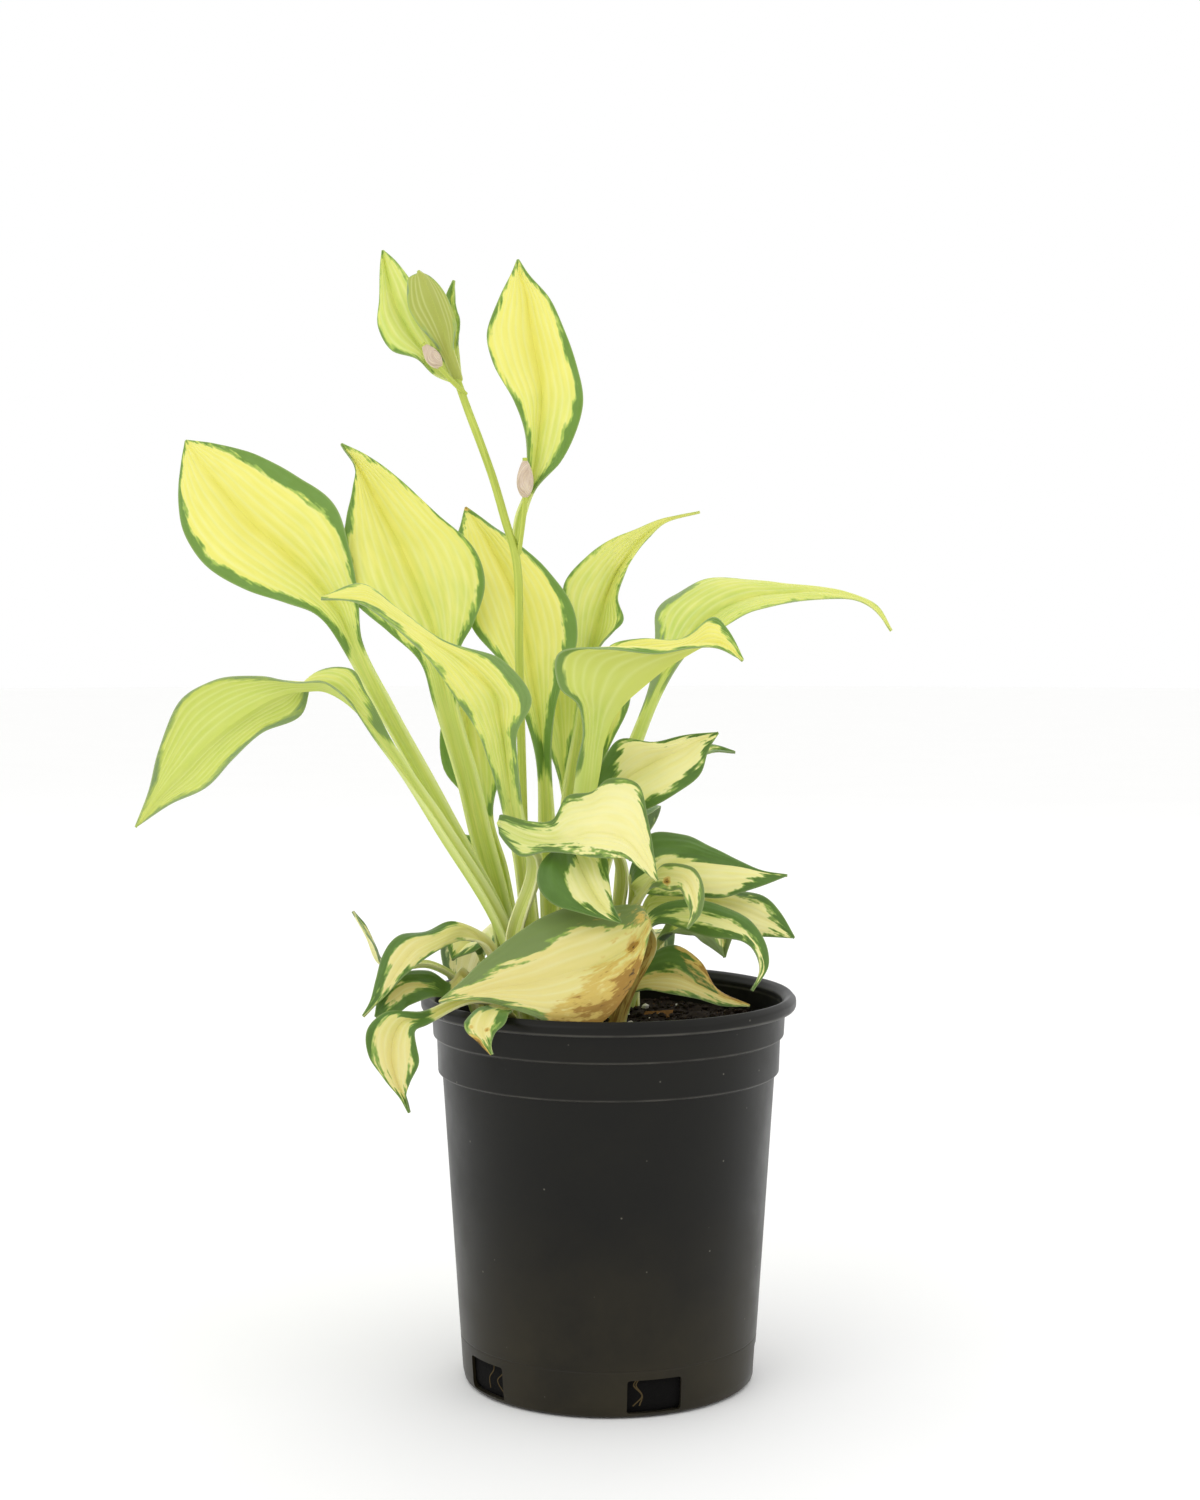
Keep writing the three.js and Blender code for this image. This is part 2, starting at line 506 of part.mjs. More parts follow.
function soilGeometry(feet) {
  const gap = WALL + CLEARANCE;
  const side = BODY_WALL.map(([radius, height]) => [radius - gap, height + CLEARANCE]);
  const edge = side[side.length - 1][0];
  const rings = [];
  for (let i = 0; i < SOIL_RINGS; i += 1) {
    rings.push([edge * (1 - i / SOIL_RINGS), SOIL_TOP]);
  }
  const profile = [
    [0, POT_FLOOR + CLEARANCE],
    [BODY_FOOT_RADIUS - gap - FLOOR_FILLET, POT_FLOOR + CLEARANCE],
    ...side,
    ...rings,
    [0, SOIL_TOP],
  ];
  const geometry = turned(profile, POT_SIDES);
  const place = geometry.attributes.position;
  for (let i = 0; i < place.count; i += 1) {
    if (Math.abs(place.getZ(i) - SOIL_TOP) < 1e-3) {
      place.setZ(i, soilSurface(place.getX(i), place.getY(i)));
    }
  }
  let soil = toManifold(geometry);
  for (const foot of feet) {
    soil = soil.subtract(toManifold(foot));
  }
  return toGeometry(soil);
}

// ---------------------------------------------------------------- leaves

// The direction of a bearing and a rise in degrees.
function pointing([bearing, rise]) {
  const turn = degrees(bearing);
  const level = Math.cos(degrees(rise));
  return new THREE.Vector3(Math.sin(turn) * level, -Math.cos(turn) * level, Math.sin(degrees(rise)));
}

// The direction that is square to the line from the left margin to the right one and to the
// midrib, on the upper side.
function upperSide(left, right, tangent) {
  return new THREE.Vector3().subVectors(right, left).cross(tangent).normalize();
}

// How far a worked-out margin stands from the midrib, to the side and up. The share is 0 at the
// blade's base and 1 at the tip, and below 0 in the stalk.
function marginOffset(spec, share) {
  if (share <= 0) {
    return [spec.stalk * STALK_EDGE.side, spec.stalk * STALK_EDGE.up];
  }
  const fullness = Math.sin(Math.PI * share ** OVAL.towardsBase) ** OVAL.fullness;
  const half = Math.max(((spec.width ?? 0) / 2) * fullness, TIP_HALF_WIDTH);
  return [half * Math.cos(degrees(OVAL.rise)), half * Math.sin(degrees(OVAL.rise))];
}

// The midrib and the two margins, each a smooth curve through as many points as the midrib has.
function leafLines(spec) {
  const rib = smoothCurve(spec.rib);
  const tip = spec.rib.length - 1;
  const listed = spec.left !== undefined;
  const base = listed ? tip - spec.left.length : spec.base;
  const left = listed ? smoothCurve(spec.left).points : [];
  const right = listed ? smoothCurve(spec.right).points : [];
  const faces = listed
    ? [
      pointing([spec.bearing, 0]),
      upperSide(left[0], right[0], rib.getTangent(base / tip)),
      upperSide(left.at(-1), right.at(-1), rib.getTangent(1 - 1 / tip)),
    ]
    : spec.face.map(pointing);

  function workedOut(k) {
    const tangent = rib.getTangent(k / tip);
    const up = k < base
      ? faces[0].clone().lerp(faces[1], k / base)
      : faces[1].clone().lerp(faces[2], (k - base) / (tip - base));
    up.addScaledVector(tangent, -up.dot(tangent)).normalize();
    const side = new THREE.Vector3().crossVectors(tangent, up);
    const [out, lift] = marginOffset(spec, (k - base) / (tip - base));
    return [-out, out].map((reach) => rib.points[k].clone()
      .addScaledVector(side, reach)
      .addScaledVector(up, lift));
  }

  const edges = spec.rib.map((place, k) => {
    const isListed = listed && k >= base && k < tip;
    return isListed ? [left[k - base], right[k - base]] : workedOut(k);
  });
  return {
    rib, base, tip,
    left: new THREE.CatmullRomCurve3(edges.map((pair) => pair[0]), false, "centripetal"),
    right: new THREE.CatmullRomCurve3(edges.map((pair) => pair[1]), false, "centripetal"),
  };
}

// The leaf's cross-section at a place along it, counted in points of the midrib.
function sectionAt(lines, place) {
  const share = place / lines.tip;
  const point = lines.rib.getPoint(share);
  const left = lines.left.getPoint(share);
  const right = lines.right.getPoint(share);
  return {
    point, left, right,
    up: upperSide(left, right, lines.rib.getTangent(share)),
    along: (place - lines.base) / (lines.tip - lines.base),
    open: smoothstep(place, lines.base - 1, lines.base + 1),
  };
}

// A point of the upper side; q runs from -1 at the left margin to 1 at the right one.
function surfacePoint(spec, section, q) {
  const { point, up, along, open } = section;
  const margin = q < 0 ? section.left : section.right;
  const reach = Math.abs(q);
  const arch = 4 * reach * (1 - reach) * margin.distanceTo(point);
  const bulge = lerp(STALK_BULGE, spec.bulge, open) * arch;
  const ripple = Math.sin(2 * Math.PI * WAVES * along + q) * reach * reach * open * (1 - along);
  return point.clone().lerp(margin, reach).addScaledVector(up, bulge + spec.wave * ripple);
}

// The places along a leaf where the mesh has a row.
function rowPlaces(lines, mesh) {
  const places = [];
  for (let k = 0; k < lines.tip; k += 1) {
    const rows = k < lines.base ? mesh.stalkRows : mesh.bladeRows;
    for (let i = 0; i < rows; i += 1) {
      places.push(k + i / rows);
    }
  }
  return [...places, lines.tip];
}

// The leaf as one closed sheet: upper side, underside and the edge between them.
function leafGeometry(leaf, mesh) {
  const spec = { ...LEAF_DEFAULTS, ...leaf };
  const lines = leafLines(spec);
  const { across } = mesh;
  const sections = rowPlaces(lines, mesh).map((place) => sectionAt(lines, place));
  const columns = across + 1;
  const upper = sections.map((section) => {
    const row = [];
    for (let j = 0; j < columns; j += 1) {
      row.push(surfacePoint(spec, section, (2 * j) / across - 1));
    }
    return row;
  });
  const lower = upper.map((row, i) => row.map((place, j) => {
    const before = upper[Math.max(i - 1, 0)][j];
    const after = upper[Math.min(i + 1, upper.length - 1)][j];
    const left = row[Math.max(j - 1, 0)];
    const right = row[Math.min(j + 1, across)];
    const lengthwise = new THREE.Vector3().subVectors(after, before);
    const crosswise = new THREE.Vector3().subVectors(right, left);
    const normal = crosswise.cross(lengthwise).normalize();
    const reach = Math.abs((2 * j) / across - 1);
    const stalk = lerp(spec.stalk * STALK_THICKNESS.ribShare, STALK_THICKNESS.margin, reach);
    const blade = lerp(BLADE_THICKNESS.rib, BLADE_THICKNESS.margin, reach);
    return place.clone().addScaledVector(normal, -lerp(stalk, blade, sections[i].open));
  }));

  const rows = upper.length;
  const positions = [...upper.flat(), ...lower.flat()].flatMap((place) => place.toArray());
  const top = (i, j) => i * columns + j;
  const under = (i, j) => (rows + i) * columns + j;
  const index = [];
  const quad = (a, b, c, d) => index.push(a, b, c, a, c, d);
  for (let i = 0; i < rows - 1; i += 1) {
    for (let j = 0; j < across; j += 1) {
      quad(top(i, j), top(i, j + 1), top(i + 1, j + 1), top(i + 1, j));
      index.push(under(i, j), under(i + 1, j + 1), under(i, j + 1));
      index.push(under(i, j), under(i + 1, j), under(i + 1, j + 1));
    }
    quad(top(i, 0), top(i + 1, 0), under(i + 1, 0), under(i, 0));
    quad(top(i + 1, across), top(i, across), under(i, across), under(i + 1, across));
  }
  for (let j = 0; j < across; j += 1) {
    quad(top(0, j + 1), top(0, j), under(0, j), under(0, j + 1));
    quad(top(rows - 1, j), top(rows - 1, j + 1), under(rows - 1, j + 1), under(rows - 1, j));
  }
  const geometry = new THREE.BufferGeometry();
  geometry.setAttribute("position", new THREE.Float32BufferAttribute(positions, 3));
  geometry.setIndex(index);
  geometry.userData.foot = footHole([...upper[0], ...lower[0]], lines.rib);
  return geometry;
}

// The plain round hole in the soil that a stalk or stem stands in.
function footHole(ring, curve) {
  const middle = new THREE.Box3().setFromPoints(ring).getCenter(new THREE.Vector3());
  const reach = Math.max(...ring.map((place) => place.distanceTo(middle)));
  const radius = reach + FOOT_HOLE.clearance;
  const surface = curve.getPointAt(FOOT_DEPTH / curve.getLength());
  const direction = surface.sub(curve.getPointAt(0)).normalize();
  const hole = new THREE.CylinderGeometry(radius, radius, FOOT_HOLE.length, FOOT_HOLE.sides);
  hole.translate(0, FOOT_HOLE.length / 2 - FOOT_HOLE.below, 0);
  hole.applyQuaternion(new THREE.Quaternion().setFromUnitVectors(
    new THREE.Vector3(0, 1, 0), direction));
  return hole.translate(...middle.toArray());
}

// ---------------------------------------------------------------- scape

// A round rod along a curve.
function rod(curve, radius, steps) {
  const round = new THREE.Shape().absarc(0, 0, radius, 0, 2 * Math.PI);
  return new THREE.ExtrudeGeometry(round, {
    steps, curveSegments: SCAPE.sides / 2, extrudePath: curve,
  });
}

// A pointed bud whose long axis is the last stretch of its line.
function budGeometry(bud) {
  const [before, tip] = smoothCurve(bud.line).points.slice(-2);
  const profile = BUD_OUTLINE.map(
    ([radius, height]) => [radius * bud.radius, (height - 1) * bud.spindle]);
  const spindle = turned(profile, BUD_SIDES);
  spindle.applyQuaternion(new THREE.Quaternion().setFromUnitVectors(
    new THREE.Vector3(0, 0, 1), tip.clone().sub(before).normalize()));
  return spindle.translate(...tip.toArray());
}

function scapeGeometry() {
  let scape = toManifold(rod(smoothCurve(SCAPE.stem), SCAPE.radius, SCAPE.steps));
  for (const bract of BRACTS) {
    scape = scape.add(toManifold(leafGeometry({ stalk: BRACT_STALK, ...bract }, BRACT_MESH)));
  }
  for (const bud of BUDS) {
    scape = scape.add(toManifold(rod(smoothCurve(bud.line), BUD_STALK.radius, BUD_STALK.steps)));
    scape = scape.add(toManifold(budGeometry(bud)));
  }
  return toGeometry(scape);
}

// The hole in the soil for the foot of the stem.
function stemFoot() {
  const curve = smoothCurve(SCAPE.stem);
  const ring = [-1, 1].map(
    (sign) => curve.getPointAt(0).add(new THREE.Vector3(sign * SCAPE.radius, 0, 0)));
  return footHole(ring, curve);
}

// ---------------------------------------------------------------- assembly

const feet = [stemFoot()];

for (const leaf of UPPER_LEAVES) {
  const geometry = leafGeometry(leaf, TALL_MESH);
  feet.push(geometry.userData.foot);
  addNode(leaf.name, geometry, COLOURS.upper, 0.5);
}
for (const leaf of LOWER_LEAVES) {
  const geometry = leafGeometry({ stalk: SMALL_STALK, ...leaf }, SMALL_MESH);
  feet.push(geometry.userData.foot);
  addNode(leaf.name, geometry, COLOURS.lower, 0.5);
}
addNode("flower_scape", scapeGeometry(), COLOURS.scape, 0.5);
addNode("pot", potGeometry(), COLOURS.pot, 0.45);
addNode("soil", soilGeometry(feet), COLOURS.soil, 0.95);

export default group;
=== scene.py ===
# %% [markdown]
# # A hosta with variegated leaves in a black nursery pot
# The plant is a young hosta: lime leaves on long channelled stalks, small cream ones edged in
# green round their feet, and one leafy flower stem. It grows in a thin moulded pot.
#
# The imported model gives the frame. Each leaf there is a coarse sheet, so here the same sheet is
# swept again with many more rows, given its veins, and painted. Lengths are written in
# millimetres, because that is how one measures a leaf, and turned to metres at the end.

# %% The frame, and the units
import math
import random
from types import SimpleNamespace

import bmesh
import bpy
from mathutils import Matrix, Vector, noise


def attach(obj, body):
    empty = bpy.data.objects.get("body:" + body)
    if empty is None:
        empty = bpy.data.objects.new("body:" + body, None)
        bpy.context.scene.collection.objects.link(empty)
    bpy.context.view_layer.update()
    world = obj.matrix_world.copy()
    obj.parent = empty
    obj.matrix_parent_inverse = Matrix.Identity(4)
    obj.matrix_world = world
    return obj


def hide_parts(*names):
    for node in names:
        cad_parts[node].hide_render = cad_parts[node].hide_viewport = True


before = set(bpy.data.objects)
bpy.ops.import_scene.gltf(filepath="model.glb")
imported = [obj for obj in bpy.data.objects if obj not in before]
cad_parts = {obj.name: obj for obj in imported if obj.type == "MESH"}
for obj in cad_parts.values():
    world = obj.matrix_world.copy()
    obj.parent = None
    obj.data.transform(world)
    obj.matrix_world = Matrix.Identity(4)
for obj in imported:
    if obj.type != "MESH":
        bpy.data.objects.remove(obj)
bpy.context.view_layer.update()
MM = 0.001
scene = bpy.context.scene

# %% [markdown]
# ## Where the photographer stood
# The pot's rim and foot are circles, and their ellipses in the picture say how far away the
# camera was and how it was tilted: 1.1 m off, level with the middle of the leaves and looking
# down a few degrees, with a 60 mm lens.

# %% Camera
CAMERA_PLACE = (-3.8, -1100, 345)
CAMERA_PITCH = 3.43
CAMERA_LENS = 60

camera = bpy.data.objects.new("camera", bpy.data.cameras.new("camera"))
camera.data.lens = CAMERA_LENS
camera.location = Vector(CAMERA_PLACE) * MM
camera.rotation_euler = (math.radians(90 - CAMERA_PITCH), 0, 0)
scene.collection.objects.link(camera)
scene.camera = camera
print("camera", [round(x, 4) for x in camera.location], "lens", CAMERA_LENS, "mm")

# %% [markdown]
# ## Colours and nodes
# Colours are picked as sRGB hex values, but the shader works in linear light, so one function
# turns them. Another adds a node: the dictionary gives its inputs, each a value or the output
# socket that feeds it, and the keywords set its properties.

# %% Colours and nodes
def linear(hex_colour):
    """An sRGB hex colour such as "#F5EE82" as linear RGBA."""
    parts = [int(hex_colour[i:i + 2], 16) / 255 for i in (1, 3, 5)]
    return [p / 12.92 if p <= 0.04045 else ((p + 0.055) / 1.055) ** 2.4 for p in parts] + [1]


def add_node(tree, kind, inputs=None, **settings):
    """Adds a node of a kind, with its properties and its inputs."""
    node = tree.nodes.new("ShaderNode" + kind)
    for name, value in settings.items():
        setattr(node, name, value)
    for key, value in (inputs or {}).items():
        if isinstance(value, bpy.types.NodeSocket):
            tree.links.new(value, node.inputs[key])
        else:
            node.inputs[key].default_value = value
    return node


print("mid grey, #808080, is", round(linear("#808080")[0], 3), "in linear light")

# %% [markdown]
# ## Finishes as coats of paint
# Every finish here is a ground colour with coats over it, such as peat with dry flecks, or a
# leaf with its green margin. A coat has a factor, which says how much of it covers each point,
# and a colour. One Mix node a coat does that, and the last one feeds the shader.

# %% Starting and finishing a material
# A Mix node that mixes colours has its factor at input 0, its colours at 6 and 7, and gives
# its result at output 2.
FACTOR, UNDER, OVER, MIXED = 0, 6, 7, 2


def new_material(name):
    """An empty material, and its node tree with only the output node in it."""
    material = bpy.data.materials.new(name)
    material.use_nodes = True
    tree = material.node_tree
    for node in list(tree.nodes):
        if node.bl_idname != "ShaderNodeOutputMaterial":
            tree.nodes.remove(node)
    return material, tree


def finish_material(tree, ground, coats, surface):
    """Lays the coats on the ground colour, and gives the shader that and its other inputs."""
    colour = linear(ground)
    for factor, coat in coats:
        over = linear(coat) if isinstance(coat, str) else coat
        colour = add_node(tree, "Mix", {
            FACTOR: factor, UNDER: colour, OVER: over}, data_type="RGBA").outputs[MIXED]
    shader = add_node(tree, "BsdfPrincipled", {"Base Color": colour, **surface})
    tree.links.new(shader.outputs["BSDF"], tree.nodes["Material Output"].inputs["Surface"])


print("a coat feeds input", OVER, "of a Mix node, and what lies under it input", UNDER)

# %% [markdown]
# ## The studio
# A white floor in a white room, so that no horizon shows, and three weak soft boxes that give
# the leaves their form: a large one from the upper left, one from the right and one behind,
# which shines through the leaves as daylight does.

# %% Floor
FLOOR_RADIUS = 9.0
FLOOR_DROP = 0.2 * MM
MOTTLES_A_METRE = 6.0

paper, tree = new_material("matte_white_paper")
mottle = add_node(tree, "TexNoise", {
    "Vector": add_node(tree, "TexCoord").outputs["Object"], "Scale": MOTTLES_A_METRE,
}).outputs["Fac"]
finish_material(tree, "#FCFCFB", [(mottle, "#FEFEFD")], {
    "Roughness": 0.9, "Specular IOR Level": 0.2,
})

bm = bmesh.new()
bmesh.ops.create_circle(bm, cap_ends=True, segments=96, radius=FLOOR_RADIUS)
bmesh.ops.translate(bm, verts=bm.verts, vec=(0, 0, -FLOOR_DROP))
mesh = bpy.data.meshes.new("floor")
bm.to_mesh(mesh)
bm.free()
mesh.materials.append(paper)
floor = bpy.data.objects.new("floor", mesh)
scene.collection.objects.link(floor)
print("floor", FLOOR_RADIUS, "m in radius")

# %% Lights
SOFT_BOXES = [
    ("key", (-1.3, -1.6, 1.9), 1.6, 9),
    ("fill", (1.9, -0.9, 1.1), 1.4, 3),
    ("back", (0.5, 1.7, 1.8), 1.4, 5),
]
ROOM_BRIGHTNESS = 1.0
AIM = Vector((0, 0, 0.25))

for name, place, size, watts in SOFT_BOXES:
    light = bpy.data.lights.new(name, "AREA")
    light.size = size
    light.energy = watts
    lamp = bpy.data.objects.new(name, light)
    lamp.location = place
    lamp.rotation_euler = (AIM - lamp.location).to_track_quat("-Z", "Y").to_euler()
    scene.collection.objects.link(lamp)

room = bpy.data.worlds.new("white_room")
room.use_nodes = True
background = room.node_tree.nodes["Background"]
background.inputs["Color"].default_value = linear("#FFFFFF")
background.inputs["Strength"].default_value = ROOM_BRIGHTNESS
scene.world = room
scene.view_settings.view_transform = "Standard"
print("lights", [box[0] for box in SOFT_BOXES], "and a room at", ROOM_BRIGHTNESS)

# %% [markdown]
# ## Making a piece
# Every piece is modelled as a bmesh in metres, where it stands in the frame. One function
# makes the object, shades it smooth up to a crease angle, and ties it to the frame: it rides
# on the only body, takes its finishes, and hides the imported nodes that it replaces.

# %% Making a piece
CREASE = math.radians(38)


def make_piece(name, bm, materials, replaced=()):
    """The finished object of a bmesh, tied to the frame."""
    mesh = bpy.data.meshes.new(name)
    bm.to_mesh(mesh)
    bm.free()
    for material in materials:
        mesh.materials.append(material)
    mesh.shade_smooth()
    mesh.set_sharp_from_angle(angle=CREASE)
    piece = bpy.data.objects.new(name, mesh)
    scene.collection.objects.link(piece)
    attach(piece, "root")
    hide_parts(*replaced)
    print(f"{name}: {len(mesh.polygons)} faces")
    return piece


print("edges of more than", round(math.degrees(CREASE)), "degrees stay sharp")

# %% [markdown]
# ## The pot
# A nursery pot is moulded from polypropylene with soot in it. The wall is 1.5 mm thick, and
# steps out twice under a rolled lip, so that pots stack without sticking. Such a shape is a
# profile spun round its axis. The corners of the profile are rounded first, because a moulded
# edge is never sharp and catches a thin line of light.

# %% Pot profile
POT_HEIGHT = 172
LIP_RADIUS = 83
LIP_DEPTH = 6.5
LIP_ROUNDING = 1.2
WALL = 1.5
POT_FLOOR = 1.8
FLOOR_ROUNDING = 1.5
FOOT_RADIUS = 65
FOOT_ROUNDING = 5
BODY_TOP_RADIUS = 73.6
MOULD_LINE_HEIGHT = 20
MOULD_LINE_DEPTH = 0.25
LOWER_COLLAR, LOWER_COLLAR_RADII = 137.5, (75.5, 76)
UPPER_COLLAR, UPPER_COLLAR_RADII = 153.7, (77.6, 78.2)
LEDGE = 0.5
EDGE_ROUNDING = 0.7
LIP_BOTTOM = POT_HEIGHT - LIP_DEPTH
BODY_SLOPE = (BODY_TOP_RADIUS - FOOT_RADIUS) / (LOWER_COLLAR - FOOT_ROUNDING)


def body_radius(height):
    """The outer radius of the tapered body at a height."""
    return FOOT_RADIUS + BODY_SLOPE * (height - FOOT_ROUNDING)


FOOT = [(0, 0), (FOOT_RADIUS - 2.6, 0), (FOOT_RADIUS - 0.8, 1.2)]
OUTER_WALL = [
    (FOOT_RADIUS, FOOT_ROUNDING),
    (body_radius(MOULD_LINE_HEIGHT), MOULD_LINE_HEIGHT),
    (body_radius(MOULD_LINE_HEIGHT) - MOULD_LINE_DEPTH, MOULD_LINE_HEIGHT + LEDGE),
    (body_radius(MOULD_LINE_HEIGHT + 1), MOULD_LINE_HEIGHT + 1),
    (BODY_TOP_RADIUS, LOWER_COLLAR - LEDGE),
    (LOWER_COLLAR_RADII[0], LOWER_COLLAR),
    (LOWER_COLLAR_RADII[1], UPPER_COLLAR - LEDGE),
    (UPPER_COLLAR_RADII[0], UPPER_COLLAR),
    (UPPER_COLLAR_RADII[1], LIP_BOTTOM),
]
LIP = [
    (LIP_RADIUS - 0.8, LIP_BOTTOM - 0.2),
    (LIP_RADIUS, LIP_BOTTOM + LIP_ROUNDING),
    (LIP_RADIUS, POT_HEIGHT - 2.4),
    (LIP_RADIUS - 2.2, POT_HEIGHT),
    (LIP_RADIUS - 4.6, POT_HEIGHT - 1.2),
    (UPPER_COLLAR_RADII[1] - WALL, POT_HEIGHT - 3.4),
]
INNER_WALL = [(radius - WALL, height) for radius, height in reversed(OUTER_WALL)]
INNER_FLOOR = [(FOOT_RADIUS - WALL - FLOOR_ROUNDING, POT_FLOOR), (0, POT_FLOOR)]


def rounded(profile, radius, steps=3):
    """The profile with each inner corner turned into a small curve of a few points."""
    points = [Vector(point) for point in profile]
    result = [points[0]]
    for before, corner, after in zip(points, points[1:], points[2:]):
        reach = min(radius, (corner - before).length * 0.45, (after - corner).length * 0.45)
        start = corner + (before - corner).normalized() * reach
        end = corner + (after - corner).normalized() * reach
        for i in range(steps + 1):
            t = i / steps
            result.append(start * (1 - t) ** 2 + corner * 2 * t * (1 - t) + end * t * t)
    result.append(points[-1])
    return result


pot_profile = rounded([*FOOT, *OUTER_WALL, *LIP, *INNER_WALL, *INNER_FLOOR], EDGE_ROUNDING)
print("pot profile", len(pot_profile), "points")

# %% Spinning the profile
POT_STEPS = 144


def spun(profile, steps):
    """A closed bmesh, in metres, of a profile in millimetres turned about the Z axis."""
    bm = bmesh.new()
    verts = [bm.verts.new((radius * MM, 0, height * MM)) for radius, height in profile]
    edges = [bm.edges.new(pair) for pair in zip(verts, verts[1:])]
    bmesh.ops.spin(bm, geom=verts + edges, cent=(0, 0, 0), axis=(0, 0, 1),
                   angle=2 * math.pi, steps=steps, use_merge=True)
    bmesh.ops.remove_doubles(bm, verts=bm.verts, dist=1e-6)
    bmesh.ops.recalc_face_normals(bm, faces=bm.faces)
    return bm


pot_bmesh = spun(pot_profile, POT_STEPS)
print("spun pot", len(pot_bmesh.faces), "faces")

# %% [markdown]
# ### Drain holes
# Five slots at the foot let the water out. Each runs from just above the floor up the wall.
# A Boolean takes boxes with rounded corners out of the spun wall, and is applied at once, so
# that the piece is one plain mesh.

# %% Drain holes
DRAIN_WIDTH = 24
DRAIN_HEIGHT = 14.5
DRAIN_BOTTOM = 2.2
DRAIN_DEPTH = 20
DRAIN_CORNER = 1.2
DRAIN_COUNT = 5
DRAIN_FIRST = 17.3
DRAIN_BEARINGS = [math.radians(DRAIN_FIRST + i * 360 / DRAIN_COUNT) for i in range(DRAIN_COUNT)]


def drain_cutter():
    """Boxes in a ring, one for each drain hole, with the edges along their depth rounded."""
    bm = bmesh.new()
    place = Matrix.Translation(Vector((0, -FOOT_RADIUS, DRAIN_BOTTOM + DRAIN_HEIGHT / 2)) * MM)
    size = Matrix.Diagonal((DRAIN_WIDTH * MM, DRAIN_DEPTH * MM, DRAIN_HEIGHT * MM, 1))
    for bearing in DRAIN_BEARINGS:
        turn = Matrix.Rotation(bearing, 4, "Z")
        bmesh.ops.create_cube(bm, size=1, matrix=turn @ place @ size)
    corners = [edge for edge in bm.edges if abs(edge.calc_length() - DRAIN_DEPTH * MM) < MM]
    bmesh.ops.bevel(bm, geom=corners, offset=DRAIN_CORNER * MM, segments=3,
                    profile=0.5, affect="EDGES", material=-1)
    mesh = bpy.data.meshes.new("drain_cutter")
    bm.to_mesh(mesh)
    bm.free()
    cutter = bpy.data.objects.new("drain_cutter", mesh)
    scene.collection.objects.link(cutter)
    return cutter


def cut(piece, cutter):
    """Takes the cutter out of the piece's own mesh, and removes the cutter."""
    boolean = piece.modifiers.new("drain_holes", "BOOLEAN")
    boolean.operation = "DIFFERENCE"
    boolean.object = cutter
    shape = piece.evaluated_get(bpy.context.evaluated_depsgraph_get())
    mesh = bpy.data.meshes.new_from_object(shape)
    piece.modifiers.clear()
    piece.data = mesh
    bpy.data.objects.remove(cutter)
    mesh.set_sharp_from_angle(angle=CREASE)
    print(f"{piece.name}: {len(mesh.polygons)} faces once it is cut")


print("drain holes", DRAIN_COUNT, "of", DRAIN_WIDTH, "by", DRAIN_HEIGHT, "mm")

# %% [markdown]
# ### Moulded polypropylene
# Soot makes the plastic nearly black with a warm cast. The mould leaves a fine orange peel, so
# its gloss is broad and soft. Its colour grows paler and warmer towards the foot, thin pale rings
# of painted highlight lie on the ledges, and dust sits all over as a few pale specks.
# Polypropylene has an IOR of 1.49, and a thin sheen stands for the finest dust.

# %% Paler foot, and painted highlights on the ledges
SMUDGE_MM = 35
PALER_BELOW = 90 * MM
HIGHLIGHTED_LEDGES = (LOWER_COLLAR, UPPER_COLLAR, LIP_BOTTOM + LIP_ROUNDING / 2)
HIGHLIGHT_HALF_WIDTH = 0.75 * MM
LEDGE_BREAK_MM = 12

plastic, tree = new_material("moulded_polypropylene")
place = add_node(tree, "TexCoord").outputs["Object"]
height = add_node(tree, "SeparateXYZ", {0: place}).outputs["Z"]
smudge = add_node(tree, "TexNoise", {
    "Vector": place, "Scale": 1 / (SMUDGE_MM * MM), "Detail": 5.0, "Roughness": 0.6,
}).outputs["Fac"]
# The colour grows paler and warmer towards the foot.
low = add_node(tree, "MapRange", {
    "Value": height, "From Min": 0.0, "From Max": PALER_BELOW, "To Min": 1.0, "To Max": 0.0,
}).outputs["Result"]
paler_foot = add_node(tree, "Math", {0: low, 1: smudge}, operation="MULTIPLY").outputs[0]

# Thin pale rings on the ledges are painted highlight, where the ledges catch the light; noise
# breaks them up.
on_ledge = 0.0
for ledge in HIGHLIGHTED_LEDGES:
    above = add_node(tree, "Math", {0: height, 1: -ledge * MM}, operation="ADD").outputs[0]
    away = add_node(tree, "Math", {0: above}, operation="ABSOLUTE").outputs[0]
    ring = add_node(tree, "MapRange", {
        "Value": away, "From Min": 0.0, "From Max": HIGHLIGHT_HALF_WIDTH,
        "To Min": 1.0, "To Max": 0.0,
    }).outputs["Result"]
    on_ledge = add_node(tree, "Math", {0: ring, 1: on_ledge}, operation="MAXIMUM").outputs[0]
ledge_breaks = add_node(tree, "TexNoise", {
    "Vector": place, "Scale": 1 / (LEDGE_BREAK_MM * MM), "Detail": 3.0}).outputs["Fac"]
ledge_highlight = add_node(tree, "Math", {0: on_ledge, 1: ledge_breaks}, operation="MULTIPLY").outputs[0]
print("lighter below", PALER_BELOW, "m and highlights on", len(HIGHLIGHTED_LEDGES), "ledges")

# %% Specks of dust
# Dust is finer than this; its specks are drawn large enough to show.
SPECK_SPACING_MM = 5.4
SPECK_RADIUS_MM = 0.54
SPECKS_KEPT = 0.14
SPECK_STRENGTH = 0.35

